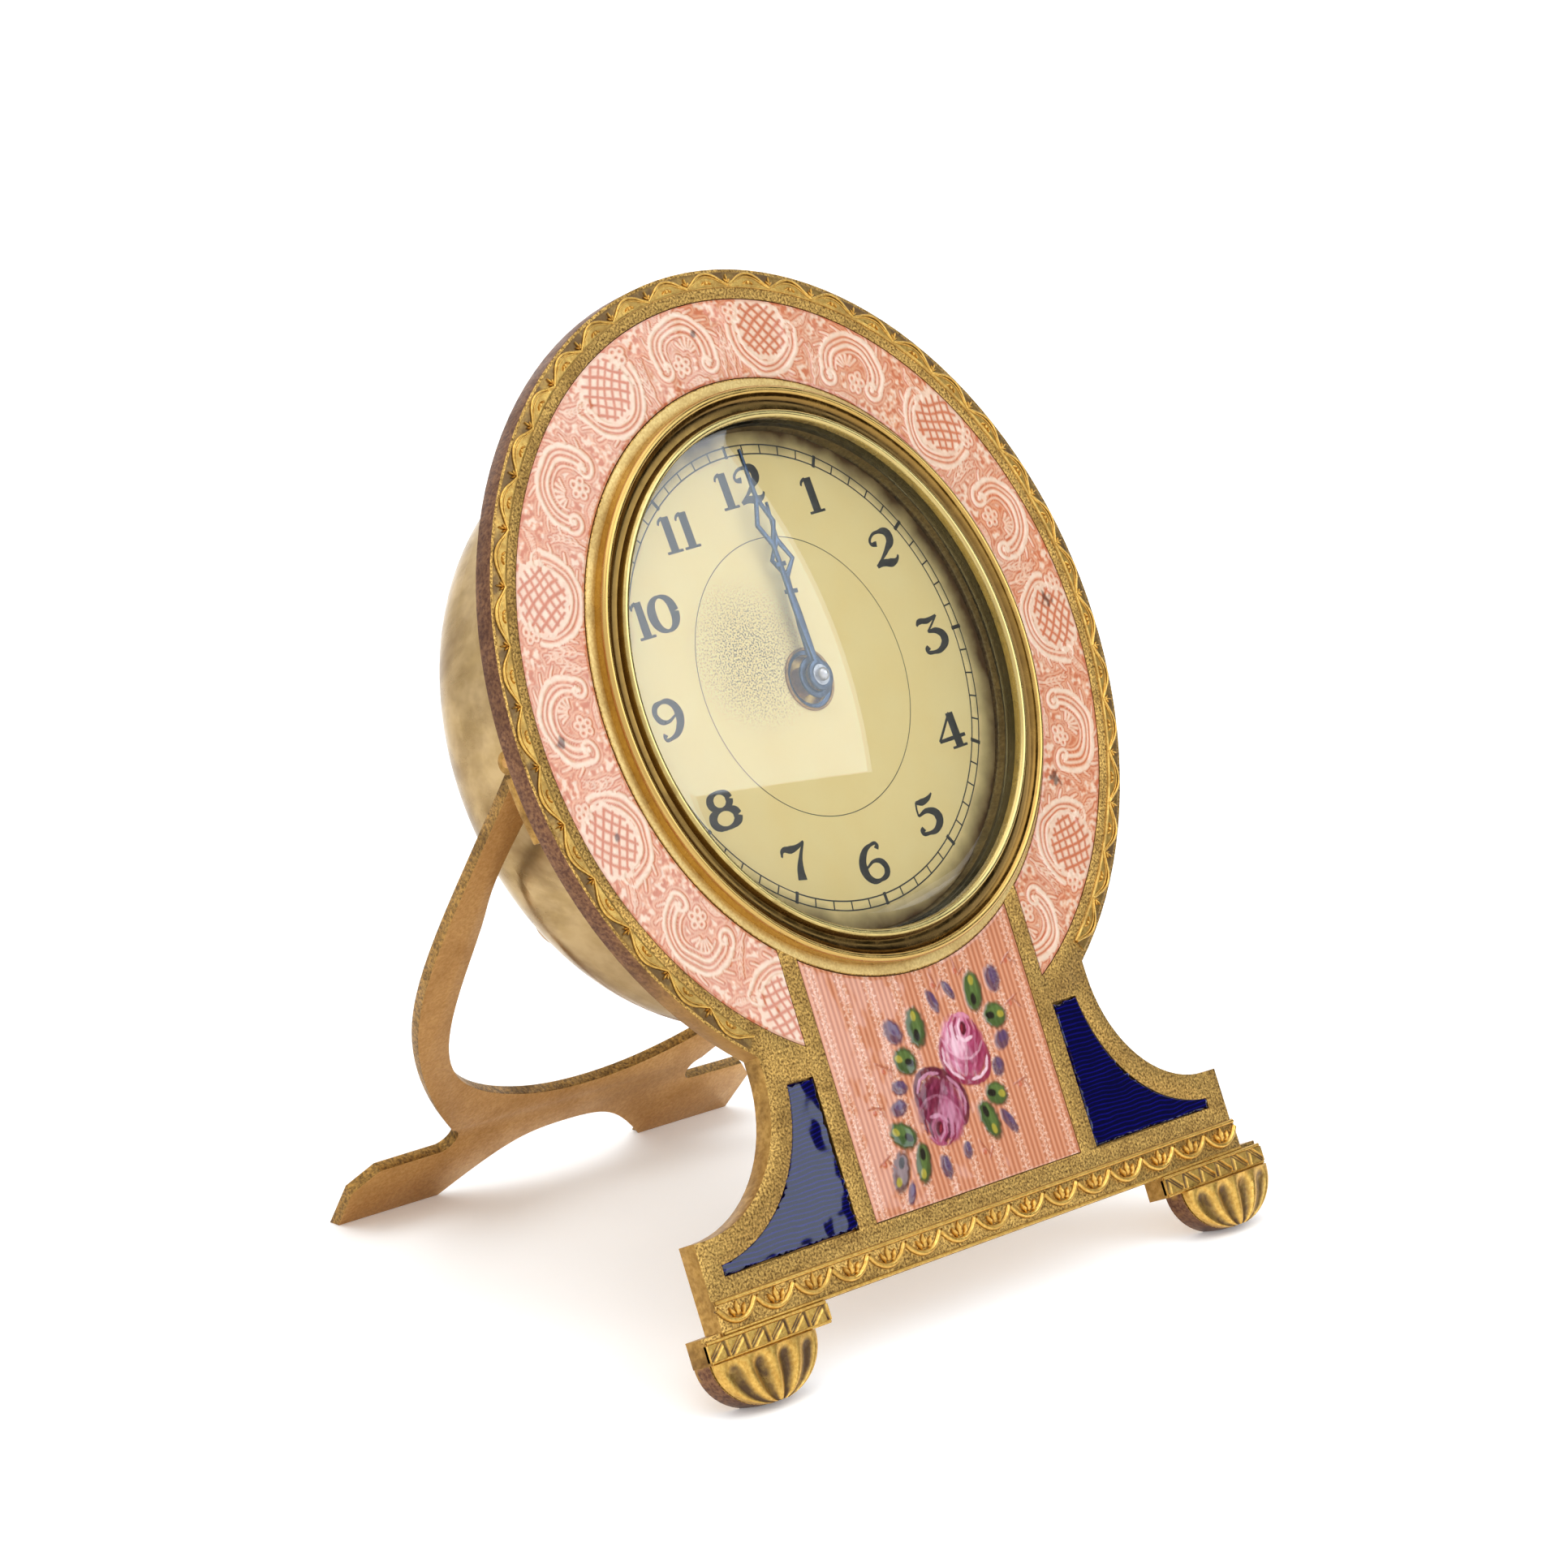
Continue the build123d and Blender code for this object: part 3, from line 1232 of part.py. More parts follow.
# Hinges: a leaf riveted to the plate's back on each side, with two knuckles and a pin
leaf_front = plate_back
leaf_rear = leaf_front - leaf_thickness
pin_hole = hinge_pin_radius + running_clearance
leaf_middle = ((leaf_inner + plate_radius) / 2, -(leaf_top_drop + leaf_bottom_drop) / 2)
rivet_places = [(leaf_inner + rivet_inset, -leaf_bottom_drop + rivet_inset),
                (leaf_inner + 2 * rivet_inset, -leaf_bottom_drop + rivet_inset)]
knuckle_spans = ((knuckle_inner, strut_knuckle_inner - knuckle_gap),
                 (strut_knuckle_outer + knuckle_gap, knuckle_outer))
for name, hand_side in (("left", -1), ("right", 1)):
    with BuildPart() as hinge_leaf:
        with BuildSketch(face.offset(leaf_rear)):
            Circle(plate_radius - leaf_edge_gap)
            with Locations((hand_side * leaf_middle[0], leaf_middle[1])):
                Rectangle(plate_radius - leaf_inner, leaf_bottom_drop - leaf_top_drop, mode=Mode.INTERSECT)
            for start, end in knuckle_spans:
                with Locations((hand_side * (start + end) / 2, -(leaf_top_drop + hinge_drop) / 2)):
                    Rectangle(end - start, leaf_top_drop - hinge_drop)
            with Locations(*[(hand_side * u, v) for u, v in rivet_places]):
                Circle(rivet_radius, mode=Mode.SUBTRACT)
        extrude(amount=leaf_thickness)
        for start, end in knuckle_spans:
            with BuildSketch(hinge_plane.offset(min(hand_side * start, hand_side * end))):
                Circle(knuckle_radius)
            extrude(amount=end - start)
        with BuildSketch(hinge_plane.offset(min(hand_side * knuckle_inner, hand_side * knuckle_outer))):
            Circle(hinge_pin_radius)
        extrude(amount=knuckle_outer - knuckle_inner, mode=Mode.SUBTRACT)
    hinge_leaf.part.label = f"hinge_leaf_{name}"
    export_step(hinge_leaf.part, f"parts/hinge_leaf_{name}.step")

with BuildPart() as hinge_pins:
    for start in (-knuckle_outer, knuckle_inner):
        with BuildSketch(hinge_plane.offset(start)):
            Circle(hinge_pin_radius)
        extrude(amount=knuckle_outer - knuckle_inner)
hinge_pins.part.label = "hinge_pins"
export_step(hinge_pins.part, "parts/hinge_pins.step")

with BuildPart() as leaf_rivets:
    with BuildSketch(face.offset(leaf_rear)):
        with Locations(*[(hand_side * u, v) for u, v in rivet_places for hand_side in (-1, 1)]):
            Circle(rivet_radius)
    extrude(amount=leaf_thickness)
leaf_rivets.part.label = "leaf_rivets"
export_step(leaf_rivets.part, "parts/leaf_rivets.step")

# Strut: one flat wishbone that straddles the drum, with a knuckle and a bent heel on each arm
outer_shares = ((1.0, 0.024), (0.945, 0.322), (0.857, 0.535), (0.669, 0.711), (0.474, 0.832))
notch_shares = ((0.440, 0.857), (0.474, 0.879))
foot_shares = ((0.690, 0.881), (0.757, 0.919), (0.740, 1.0), (0.394, 1.0))
arch_shares = ((0.331, 0.967), (0.209, 0.916), (0.0, 0.892))
inner_shares = ((0.0, 0.806), (0.30, 0.780), (0.586, 0.690), (0.751, 0.508), (0.817, 0.339), (0.874, 0.024))


def strut_point(shares):
    """A point of the strut's outline from its shares of the half span and the length."""
    return (shares[0] * strut_half_span, -shares[1] * strut_length)


outer = [strut_point(shares) for shares in outer_shares]
notch = [strut_point(shares) for shares in notch_shares]
foot = [strut_point(shares) for shares in foot_shares]
arch = [strut_point(shares) for shares in arch_shares]
inner = [strut_point(shares) for shares in inner_shares]
sole = -strut_length - cut_overrun
heel_front = hinge_depth - plate_thickness - heel_gap
with BuildPart() as strut:
    with BuildSketch(strut_plane.offset(-strut_thickness / 2)):
        with BuildLine():
            Spline(*outer)
            ThreePointArc(outer[-1], *notch)
            Line(notch[-1], foot[0])
            Line(foot[0], foot[1])
            Polyline(foot[1], foot[2], (foot[2][0], sole), (foot[3][0], sole), foot[3])
            Spline(foot[3], *arch, tangents=((-1, 1), (-1, 0)))
            Line(arch[-1], inner[0])
            Spline(*inner, tangents=((1, 0), (0, 1)))
            Line(inner[-1], outer[0])
        make_face()
        with Locations(((strut_knuckle_inner + strut_knuckle_outer) / 2, outer[0][1] / 2)):
            Rectangle(strut_knuckle_outer - strut_knuckle_inner, -outer[0][1])
        mirror(about=Plane.YZ)
    extrude(amount=strut_thickness)
    for start in (-strut_knuckle_outer, strut_knuckle_inner):
        with BuildSketch(hinge_plane.offset(start)):
            Circle(knuckle_radius)
            with Locations((heel_rise / 2, heel_front - strut_thickness / 2)):
                Rectangle(heel_rise, strut_thickness)
        extrude(amount=strut_knuckle_outer - strut_knuckle_inner)
        with BuildSketch(hinge_plane.offset(start)):
            Circle(pin_hole)
        extrude(amount=strut_knuckle_outer - strut_knuckle_inner, mode=Mode.SUBTRACT)
    split(bisect_by=Plane.XY, keep=Keep.TOP)
strut.part.label = "strut"
export_step(strut.part, "parts/strut.step")
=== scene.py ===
import json
from math import acos, atan2, cos, degrees, pi, radians, sin, sqrt

import bmesh
import bpy
import numpy as np
from mathutils import Matrix, Vector, kdtree, noise


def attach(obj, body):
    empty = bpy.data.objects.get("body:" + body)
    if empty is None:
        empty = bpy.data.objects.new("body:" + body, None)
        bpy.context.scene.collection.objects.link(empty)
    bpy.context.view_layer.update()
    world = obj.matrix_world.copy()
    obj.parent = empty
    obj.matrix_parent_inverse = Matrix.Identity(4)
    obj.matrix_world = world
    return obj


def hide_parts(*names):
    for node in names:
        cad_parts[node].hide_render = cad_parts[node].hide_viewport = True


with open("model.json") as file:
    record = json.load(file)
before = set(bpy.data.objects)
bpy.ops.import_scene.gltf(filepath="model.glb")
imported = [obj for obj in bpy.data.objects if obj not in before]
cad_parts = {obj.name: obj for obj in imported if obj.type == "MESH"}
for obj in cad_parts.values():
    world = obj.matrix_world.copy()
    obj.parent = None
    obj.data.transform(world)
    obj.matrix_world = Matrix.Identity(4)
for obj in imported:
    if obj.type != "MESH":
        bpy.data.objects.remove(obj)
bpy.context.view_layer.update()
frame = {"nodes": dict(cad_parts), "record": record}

# The clock's own frame: u to the right across the plate, v up it, w out of its front, in millimetres
MM = 0.001
joints = {joint["name"]: joint for joint in frame["record"]["behaviour"]["joints"]}
dial_centre = Vector(joints["minute_turn"]["pos_m"])
out_way = Vector(joints["minute_turn"]["axis"]).normalized()
across_way = Vector((1, 0, 0))
up_way = out_way.cross(across_way)
plate_turn = Matrix((across_way, up_way, out_way)).transposed()
plate = Matrix.Translation(dial_centre) @ plate_turn.to_4x4() @ Matrix.Scale(MM, 4)
lean = acos(up_way.z)

# Sizes on the plate, in millimetres
RIM = 37.75
RING_OUT = 35.0
RING_IN = 27.5
RING_MID = (RING_OUT + RING_IN) / 2
RING_GAP = 15.75
CELL = 0.6
PANEL_HALF = 13.8
PANEL_DROP = 47.5
BASE_HALF = 34.95
MOULDING_TOP = -49.1
BASE_DROP = 52.1
BAND_IN = 22.8
BAND_OUT = 37.3
BAND_DROP = 54.0
MELON_MIDDLE = 31.15
MELON_HALF = 6.05
MELON_DEPTH = 4.6
DIAL_LEVEL = -2.4
DIAL_BACK = -2.9
DIAL_RADIUS = 24.0
DIAL_HOLE = 2.25
GLASS_SEAT = 24.08
GLASS_RADIUS = 23.46
BOWL_RADIUS = 23.2
GLASS_EDGE = 0.33
GLASS_FOOT = -0.67
GLASS_RISE = 3.3
HOUR_RADIUS = 17.7
TRACK_IN = 20.55
TRACK_OUT = 21.4
CENTRE_RING = 12.85
STRUT_SLOPE = 34.3
CELL_FLOOR = -CELL + 0.03
GAP = 0.09
AS_MODELLED = Matrix.Identity(4)


# Colours and shader nodes

def tone(code):
    """An sRGB hex colour as linear RGBA."""
    parts = [int(code[k:k + 2], 16) / 255 for k in (0, 2, 4)]
    return tuple(c / 12.92 if c <= 0.04045 else ((c + 0.055) / 1.055) ** 2.4 for c in parts) + (1.0,)


def feed(tree, node, inputs):
    """Sets a node's inputs; each is a value, a socket, or a node whose first live output is linked."""
    for key, value in inputs.items():
        if isinstance(value, bpy.types.Node):
            value = next(socket for socket in value.outputs if socket.enabled)
        if isinstance(value, bpy.types.NodeSocket):
            tree.links.new(value, node.inputs[key])
        else:
            node.inputs[key].default_value = value


def add(tree, kind, inputs=None, **settings):
    """Adds a shader node with its settings and feeds its inputs."""
    made = tree.nodes.new("ShaderNode" + kind)
    for key, value in settings.items():
        setattr(made, key, value)
    feed(tree, made, inputs or {})
    return made


def finish(name):
    """A new material: its tree, its shader and its place on the plate in millimetres."""
    made = bpy.data.materials.new(name)
    made.use_nodes = True
    tree = made.node_tree
    shader = tree.nodes["Principled BSDF"]
    place = add(tree, "Mapping", {"Vector": add(tree, "TexCoord").outputs["Object"],
                                  "Location": dial_centre, "Rotation": (pi / 2 - lean, 0, 0),
                                  "Scale": (MM, MM, MM)}, vector_type="TEXTURE")
    return made, tree, shader, place.outputs["Vector"]


def aged_metal(name, bright, dull, stain, grain, patch, rough, bump, stained=0.5, relief=False):
    """Old gilt or brass: grain of two tones, cloudy stains, and dirt in the low places of a relief."""
    made, tree, shader, place = finish(name)
    fine = add(tree, "TexNoise", {"Vector": place, "Scale": 1 / grain, "Detail": 3.0, "Roughness": 0.6})
    cloud = add(tree, "TexNoise", {"Vector": place, "Scale": 1 / patch, "Detail": 5.0, "Roughness": 0.62,
                                   "Distortion": 0.4})
    speck = add(tree, "MapRange", {"Value": fine, "From Min": 0.36, "From Max": 0.64})
    colour = add(tree, "Mix", {"Factor": speck, 6: tone(dull), 7: tone(bright)},
                 data_type="RGBA")
    old = add(tree, "MapRange", {"Value": cloud, "From Min": 0.48, "From Max": 0.72,
                                 "To Max": stained})
    colour = add(tree, "Mix", {"Factor": old, 6: colour, 7: tone(stain)},
                 data_type="RGBA")
    if relief:
        height = add(tree, "Attribute", attribute_name="relief")
        low = add(tree, "MapRange", {"Value": height.outputs["Fac"], "From Min": 0.7, "From Max": 0.1})
        patchy = add(tree, "MapRange", {"Value": cloud, "From Min": 0.3, "From Max": 0.55,
                                        "To Min": 0.45, "To Max": 0.95})
        dirt = add(tree, "Math", {0: low, 1: patchy}, operation="MULTIPLY")
        colour = add(tree, "Mix", {"Factor": dirt, 6: colour, 7: tone(stain)},
                     data_type="RGBA")
        gleam = add(tree, "MapRange", {"Value": dirt, "To Min": 1.0, "To Max": 0.45})
        feed(tree, shader, {"Metallic": gleam})
    worn = add(tree, "MapRange", {"Value": cloud, "From Min": 0.35, "From Max": 0.7,
                                  "To Min": rough, "To Max": min(1.0, rough + 0.22)})
    dents = add(tree, "Bump", {"Height": fine, "Strength": bump, "Distance": grain * MM * 0.5})
    feed(tree, shader, {"Base Color": colour, "Roughness": worn, "Normal": dents, "Metallic": 1.0})
    return made


def glossy_coat(tree, shader, place, swell, rough):
    """A clear coat of enamel glass with a slow swell, of a size in millimetres, over its ground."""
    wave = add(tree, "TexNoise", {"Vector": place, "Scale": 1 / swell, "Detail": 2.0})
    skin = add(tree, "Bump", {"Height": wave, "Strength": 0.25, "Distance": 0.4 * MM})
    feed(tree, shader, {"Coat Normal": skin, "Roughness": rough, "IOR": 1.5, "Specular IOR Level": 0.1,
                        "Coat Weight": 1.0, "Coat Roughness": 0.05, "Metallic": 0.1})


# Stamped gilt brass: sandy field left by the die, bright grains over olive-brown ones
gilt_field = aged_metal("stamped_gilt_brass", "e2b564", "6c4e29", "4c351b", 0.23, 3.2, 0.38, 0.5, 0.5)
# The plate's sawn and polished edge: smooth gold with brown rubbed corners
gilt_edge = aged_metal("gilt_brass_edge", "b68e4e", "98723a", "4f3420", 0.5, 4.0, 0.32, 0.12, 0.65)
# The rim's edge: brown tarnish with gold scratched through
rim_edge = aged_metal("tarnished_rim_edge", "8a6448", "5d4034", "4a3028", 0.35, 6.0, 0.4, 0.2, 0.6)
tree = rim_edge.node_tree
shader = tree.nodes["Principled BSDF"]
brown = shader.inputs["Base Color"].links[0].from_socket
place = tree.nodes["Mapping"].outputs["Vector"]
height = add(tree, "SeparateXYZ", {"Vector": place}).outputs["Y"]
scratch = add(tree, "TexNoise", {"Vector": place, "Scale": 1 / 2.5, "Detail": 4.0})
height = add(tree, "Math", {0: scratch, 1: 14.0, 2: height}, operation="MULTIPLY_ADD")
upper = add(tree, "MapRange", {"Value": height, "From Min": -27.0, "From Max": -11.0})
foot = add(tree, "MapRange", {"Value": height, "From Min": -45.5, "From Max": -47.5})
kept = add(tree, "Math", {0: upper, 1: foot}, operation="MAXIMUM")
edge_colour = add(tree, "Mix", {"Factor": kept, 6: tone("b98f4e"), 7: brown}, data_type="RGBA")
feed(tree, shader, {"Base Color": edge_colour})
# Polished gilt seat of the bezel, smooth and warm
gilt_seat = aged_metal("polished_gilt_brass", "e2c888", "cdae70", "8d6c3c", 0.25, 5.0, 0.48, 0.3, 0.4)
# Raised ornament, rubbed bright on top and brown in the hollows
gilt_relief = aged_metal("gilt_brass_relief", "e2b963", "c99a4a", "432a15", 0.3, 2.6, 0.26, 0.15, 0.3,
                         relief=True)
# Flat plate back, plain gilding with cloudy stains
gilt_back = aged_metal("gilt_brass_back", "d8ab58", "b98d45", "7c5f34", 0.4, 7.0, 0.36, 0.15, 0.6)
# Satin gilt strut, warm and even
strut_gilt = aged_metal("satin_gilt_brass", "c89c60", "b6884e", "8b6033", 0.35, 9.0, 0.36, 0.2, 0.4)
# Sawn edge of the strut, dark and grainy
strut_edge = aged_metal("dark_strut_edge", "b38a4a", "6e5433", "4c3a26", 0.3, 4.0, 0.42, 0.4, 0.6)
# Spun brass drum, lacquer gone olive with brown runs
drum_brass = aged_metal("lacquered_drum_brass", "bca174", "ac9162", "5f4222", 2.5, 13.0, 0.14, 0.02, 0.85)
# Handled brass of key and knob, browned
knob_brass = aged_metal("handled_brass", "b48a4a", "a67c40", "4f3722", 0.5, 3.5, 0.24, 0.05, 0.7)
# Grained brass of the movement
movement_brass = aged_metal("grained_movement_brass", "e2bf70", "cda552", "9c7838", 0.3, 6.0, 0.3, 0.15, 0.3)
# Bright steel of arbors, springs and screws
bright_steel = aged_metal("bright_steel", "c9c9cb", "b2b2b6", "8a8580", 0.3, 5.0, 0.22, 0.1, 0.25)
# Blued steel of the hands, a grey-blue heat oxide with worn edges
blued_steel = aged_metal("blued_steel", "55677f", "435066", "2c323c", 0.25, 2.5, 0.3, 0.12, 0.5)

# Drawing of pieces


def shaped(name, bm, finishes, body, nodes=(), place=plate, smooth=32.0):
    """Closes a bmesh into a piece of the clock, set in place, riding on its body."""
    mesh = bpy.data.meshes.new(name)
    bm.to_mesh(mesh)
    bm.free()
    mesh.transform(place)
    for made in finishes:
        mesh.materials.append(made)
    mesh.polygons.foreach_set("use_smooth", [True] * len(mesh.polygons))
    if smooth:
        mesh.set_sharp_from_angle(angle=radians(smooth))
    piece = bpy.data.objects.new(name, mesh)
    bpy.context.scene.collection.objects.link(piece)
    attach(piece, body)
    if nodes:
        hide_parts(*nodes)
    return piece


def softened(node, width, angle=30.0):
    """A copy of a solid with its planes joined up and its sharp edges rubbed round."""
    bm = bmesh.new()
    bm.from_mesh(frame["nodes"][node].data)
    bmesh.ops.remove_doubles(bm, verts=bm.verts, dist=0.002 * MM)
    bmesh.ops.dissolve_limit(bm, angle_limit=radians(0.5), verts=bm.verts, edges=bm.edges)
    sharp = [e for e in bm.edges if len(e.link_faces) == 2 and e.calc_face_angle(0) > radians(angle)]
    bmesh.ops.bevel(bm, geom=sharp, offset=width * MM, offset_type="OFFSET", affect="EDGES", segments=2,
                    profile=0.5, material=-1, clamp_overlap=True)
    return bm


def turned(profile, steps=160):
    """A lathe-turned solid from a closed profile of (radius, height)."""
    bm = bmesh.new()
    points = [bm.verts.new((radius, 0, height)) for radius, height in profile]
    for a, b in zip(points, points[1:] + points[:1]):
        bm.edges.new((a, b))
    bmesh.ops.spin(bm, geom=bm.verts[:] + bm.edges[:], cent=(0, 0, 0), axis=(0, 0, 1), angle=2 * pi,
                   steps=steps, use_merge=True)
    bmesh.ops.remove_doubles(bm, verts=bm.verts, dist=0.0005)
    bmesh.ops.recalc_face_normals(bm, faces=bm.faces)
    return bm


def wires(name, strokes, sides=3, closed=False, kind="BEZIER"):
    """Round wires along strokes of (u, v, w, half width), as one bmesh."""
    curve = bpy.data.curves.new(name, "CURVE")
    curve.dimensions = "3D"
    curve.bevel_depth = 1.0
    curve.bevel_resolution = sides
    curve.resolution_u = 5
    curve.use_fill_caps = True
    for stroke in strokes:
        line = curve.splines.new(kind)
        if kind == "BEZIER":
            line.bezier_points.add(len(stroke) - 1)
            for knot, (u, v, w, half) in zip(line.bezier_points, stroke):
                knot.co = (u, v, w)
                knot.radius = half
                knot.handle_left_type = knot.handle_right_type = "AUTO"
        else:
            line.points.add(len(stroke) - 1)
            for knot, (u, v, w, half) in zip(line.points, stroke):
                knot.co = (u, v, w, 1)
                knot.radius = half
        line.use_cyclic_u = closed
    holder = bpy.data.objects.new(name, curve)
    mesh = bpy.data.meshes.new_from_object(holder)
    bpy.data.objects.remove(holder)
    bm = bmesh.new()
    bm.from_mesh(mesh)
    bpy.data.meshes.remove(mesh)
    bmesh.ops.recalc_face_normals(bm, faces=bm.faces)
    return bm


def joined(parts):
    """Several bmeshes as one."""
    whole = bmesh.new()
    for part in parts:
        mesh = bpy.data.meshes.new("part")
        part.to_mesh(mesh)
        part.free()
        whole.from_mesh(mesh)
        bpy.data.meshes.remove(mesh)
    return whole


def closed_under(bm, level):
    """Gives an open sheet walls down to a level, a floor, and faces that point outwards."""
    rim = [e for e in bm.edges if e.is_boundary]
    skirt = bmesh.ops.extrude_edge_only(bm, edges=rim)["geom"]
    for vert in (g for g in skirt if isinstance(g, bmesh.types.BMVert)):
        vert.co.z = level
    foot = [g for g in skirt if isinstance(g, bmesh.types.BMEdge) and g.is_boundary]
    bmesh.ops.edgeloop_fill(bm, edges=foot)
    bmesh.ops.recalc_face_normals(bm, faces=bm.faces)


def set_relief(bm, low, high):
    """Marks each point with its height in the relief, 0 in the hollows and 1 on top."""
    layer = bm.verts.layers.float.new("relief")
    for vert in bm.verts:
        vert[layer] = min(1.0, max(0.0, (vert.co.z - low) / (high - low)))
    return bm


def leaf(bm, u, v, w, length, width, height, turn):
    """A raised teardrop, its root at (u, v) and its tip along turn, in degrees."""
    made = bmesh.ops.create_icosphere(bm, subdivisions=1, radius=1.0)["verts"]
    for vert in made:
        pull = 0.55 + 0.45 * (1 - vert.co.x) / 2
        vert.co = ((vert.co.x + 1) / 2 * length, vert.co.y * width * pull, vert.co.z * height)
    bmesh.ops.rotate(bm, verts=made, cent=(0, 0, 0), matrix=Matrix.Rotation(radians(turn), 3, "Z"))
    bmesh.ops.translate(bm, verts=made, vec=(u, v, w))


def bead(bm, u, v, w, radius):
    """A small raised bead."""
    made = bmesh.ops.create_icosphere(bm, subdivisions=1, radius=radius)["verts"]
    bmesh.ops.translate(bm, verts=made, vec=(u, v, w))


def smooth(low, high, value):
    """0 below low, 1 above high, smooth between; of a number or an array."""
    share = np.clip((value - low) / (high - low), 0.0, 1.0)
    return share * share * (3 - 2 * share)


def around(radius, turn):
    """A point on the plate at a radius and a turn from the right, counter-clockwise, in degrees."""
    return radius * cos(radians(turn)), radius * sin(radians(turn))


# Front plate: sandy field, polished edge, plain back
bm = softened("front_plate", 0.12)
for face in bm.faces:
    facing = face.normal.dot(out_way)
    place = plate.inverted() @ face.calc_center_median()
    outside = place.y < -BAND_DROP or place.xy.length > 37.2 and place.y > -31.2
    sunk = facing > 0.85 and place.z < -0.1
    face.material_index = 3 if sunk else 0 if facing > 0.85 else 2 if facing < -0.85 else 3 if outside else 1
plate_finishes = [gilt_field, gilt_edge, gilt_back, rim_edge]
shaped("front_plate_gilt", bm, plate_finishes, "case", ["front_plate"], place=AS_MODELLED)

# Bezel's seat: a smooth gilt band round it
profile = [(26.4, -0.2), (27.4, -0.2), (27.4, 0.01), (27.33, 0.05), (26.5, 0.05), (26.4, 0.02)]
shaped("bezel_seat", turned(profile), [gilt_seat], "case")

# Rim border: pointed arches on a raised band, brown outside them, a three-leaf sprig at each cusp
ARCHES = 35
ARCH_TURN = 8.2
ARCH_LINE = ((0.0, 0.0), (0.14, 0.34), (0.32, 0.82), (0.5, 1.0), (0.68, 0.82), (0.86, 0.34), (1.0, 0.0))
border_start = 90 - ARCHES * ARCH_TURN / 2


def arch_radius(share):
    """How far out an arch reaches along its pitch."""
    return 36.22 + 1.14 * np.interp(share, *zip(*ARCH_LINE))


bm = bmesh.new()
edge = [(36.0, -0.05), (36.02, 0.1), (36.1, 0.16), (36.3, 0.15), (36.5, 0.14), (36.7, 0.14),
        (36.9, 0.14), (37.1, 0.13), (37.3, 0.1), (37.5, 0.05), (37.64, -0.05), (37.72, -0.25), (36.0, -0.25)]
points = [bm.verts.new((*around(r, border_start), w)) for r, w in edge]
for a, b in zip(points, points[1:] + points[:1]):
    bm.edges.new((a, b))
bmesh.ops.spin(bm, geom=bm.verts[:] + bm.edges[:], cent=(0, 0, 0), axis=(0, 0, 1),
               angle=radians(ARCHES * ARCH_TURN), steps=ARCHES * 18)
bmesh.ops.edgeloop_fill(bm, edges=[e for e in bm.edges if e.is_boundary])
bmesh.ops.recalc_face_normals(bm, faces=bm.faces)
layer = bm.verts.layers.float.new("relief")
for vert in bm.verts:
    turn = (degrees(atan2(vert.co.y, vert.co.x)) - border_start) % 360 / ARCH_TURN
    out = sqrt(vert.co.x ** 2 + vert.co.y ** 2) - arch_radius(turn % 1)
    vert[layer] = 0.5 if out < 0 else 0.16
    vert.co.z -= 0.06 if out > 0 else 0
band = bm
arches = []
small = bmesh.new()
for k in range(ARCHES):
    start = border_start + ARCH_TURN * k
    for inset, half in ((0.0, 0.115), (0.24, 0.06)):
        line = []
        for share, rise in ARCH_LINE:
            reach = arch_radius(share) - inset * (0.35 + rise)
            line.append((*around(reach, start + ARCH_TURN * share), 0.17, half))
        arches.append(line)
    bead(small, *around(36.5, start + ARCH_TURN * 0.5), 0.17, 0.2)
    for side in (-1, 1):
        leaf(small, *around(36.3, start + ARCH_TURN * (0.5 + side * 0.12)), 0.17, 0.62, 0.15, 0.17,
             start + ARCH_TURN * 0.5 - side * 52)
    if k:
        for turn, length in ((-42, 0.6), (0, 0.9), (42, 0.6)):
            leaf(small, *around(36.4, start), 0.14, length, 0.14, 0.2, start + turn)
ornament = set_relief(joined([wires("arches", arches, sides=2), small]), 0.0, 0.26)
shaped("rim_border", joined([band, ornament]), [gilt_relief], "case", smooth=50)

# Base moulding: a rail, hanging swags, and drop leaves in each swag
SWAGS = 15
DROP_LEAVES = ((-30, 1.25, 0.34, -0.34), (0, 1.5, 0.46, 0.0), (30, 1.25, 0.34, 0.34))
swag_width = 2 * BASE_HALF / SWAGS
swags = []
small = bmesh.new()
for k in range(SWAGS):
    left = -BASE_HALF + swag_width * k
    swags.append([(left + swag_width * s, MOULDING_TOP - 0.72 - 1.35 * drop, 0.24, 0.29)
                  for s, drop in ((0.02, 0.0), (0.2, 0.66), (0.5, 1.0), (0.8, 0.66), (0.98, 0.0))])
    for turn, length, width, shift in DROP_LEAVES:
        leaf(small, left + swag_width / 2 + shift, MOULDING_TOP - 1.85, 0.24, length, width, 0.44, 90 - turn)
rails = [[(-BASE_HALF + 0.1, v, 0.27, half), (0, v, 0.27, half), (BASE_HALF - 0.1, v, 0.27, half)]
         for v, half in ((MOULDING_TOP - 0.22, 0.2), (-BASE_DROP + 0.2, 0.16))]
bm = set_relief(joined([wires("swags", swags, sides=2), small, wires("rails", rails, sides=2)]), 0.16, 0.5)
shaped("base_swags", bm, [gilt_relief], "case", smooth=50)

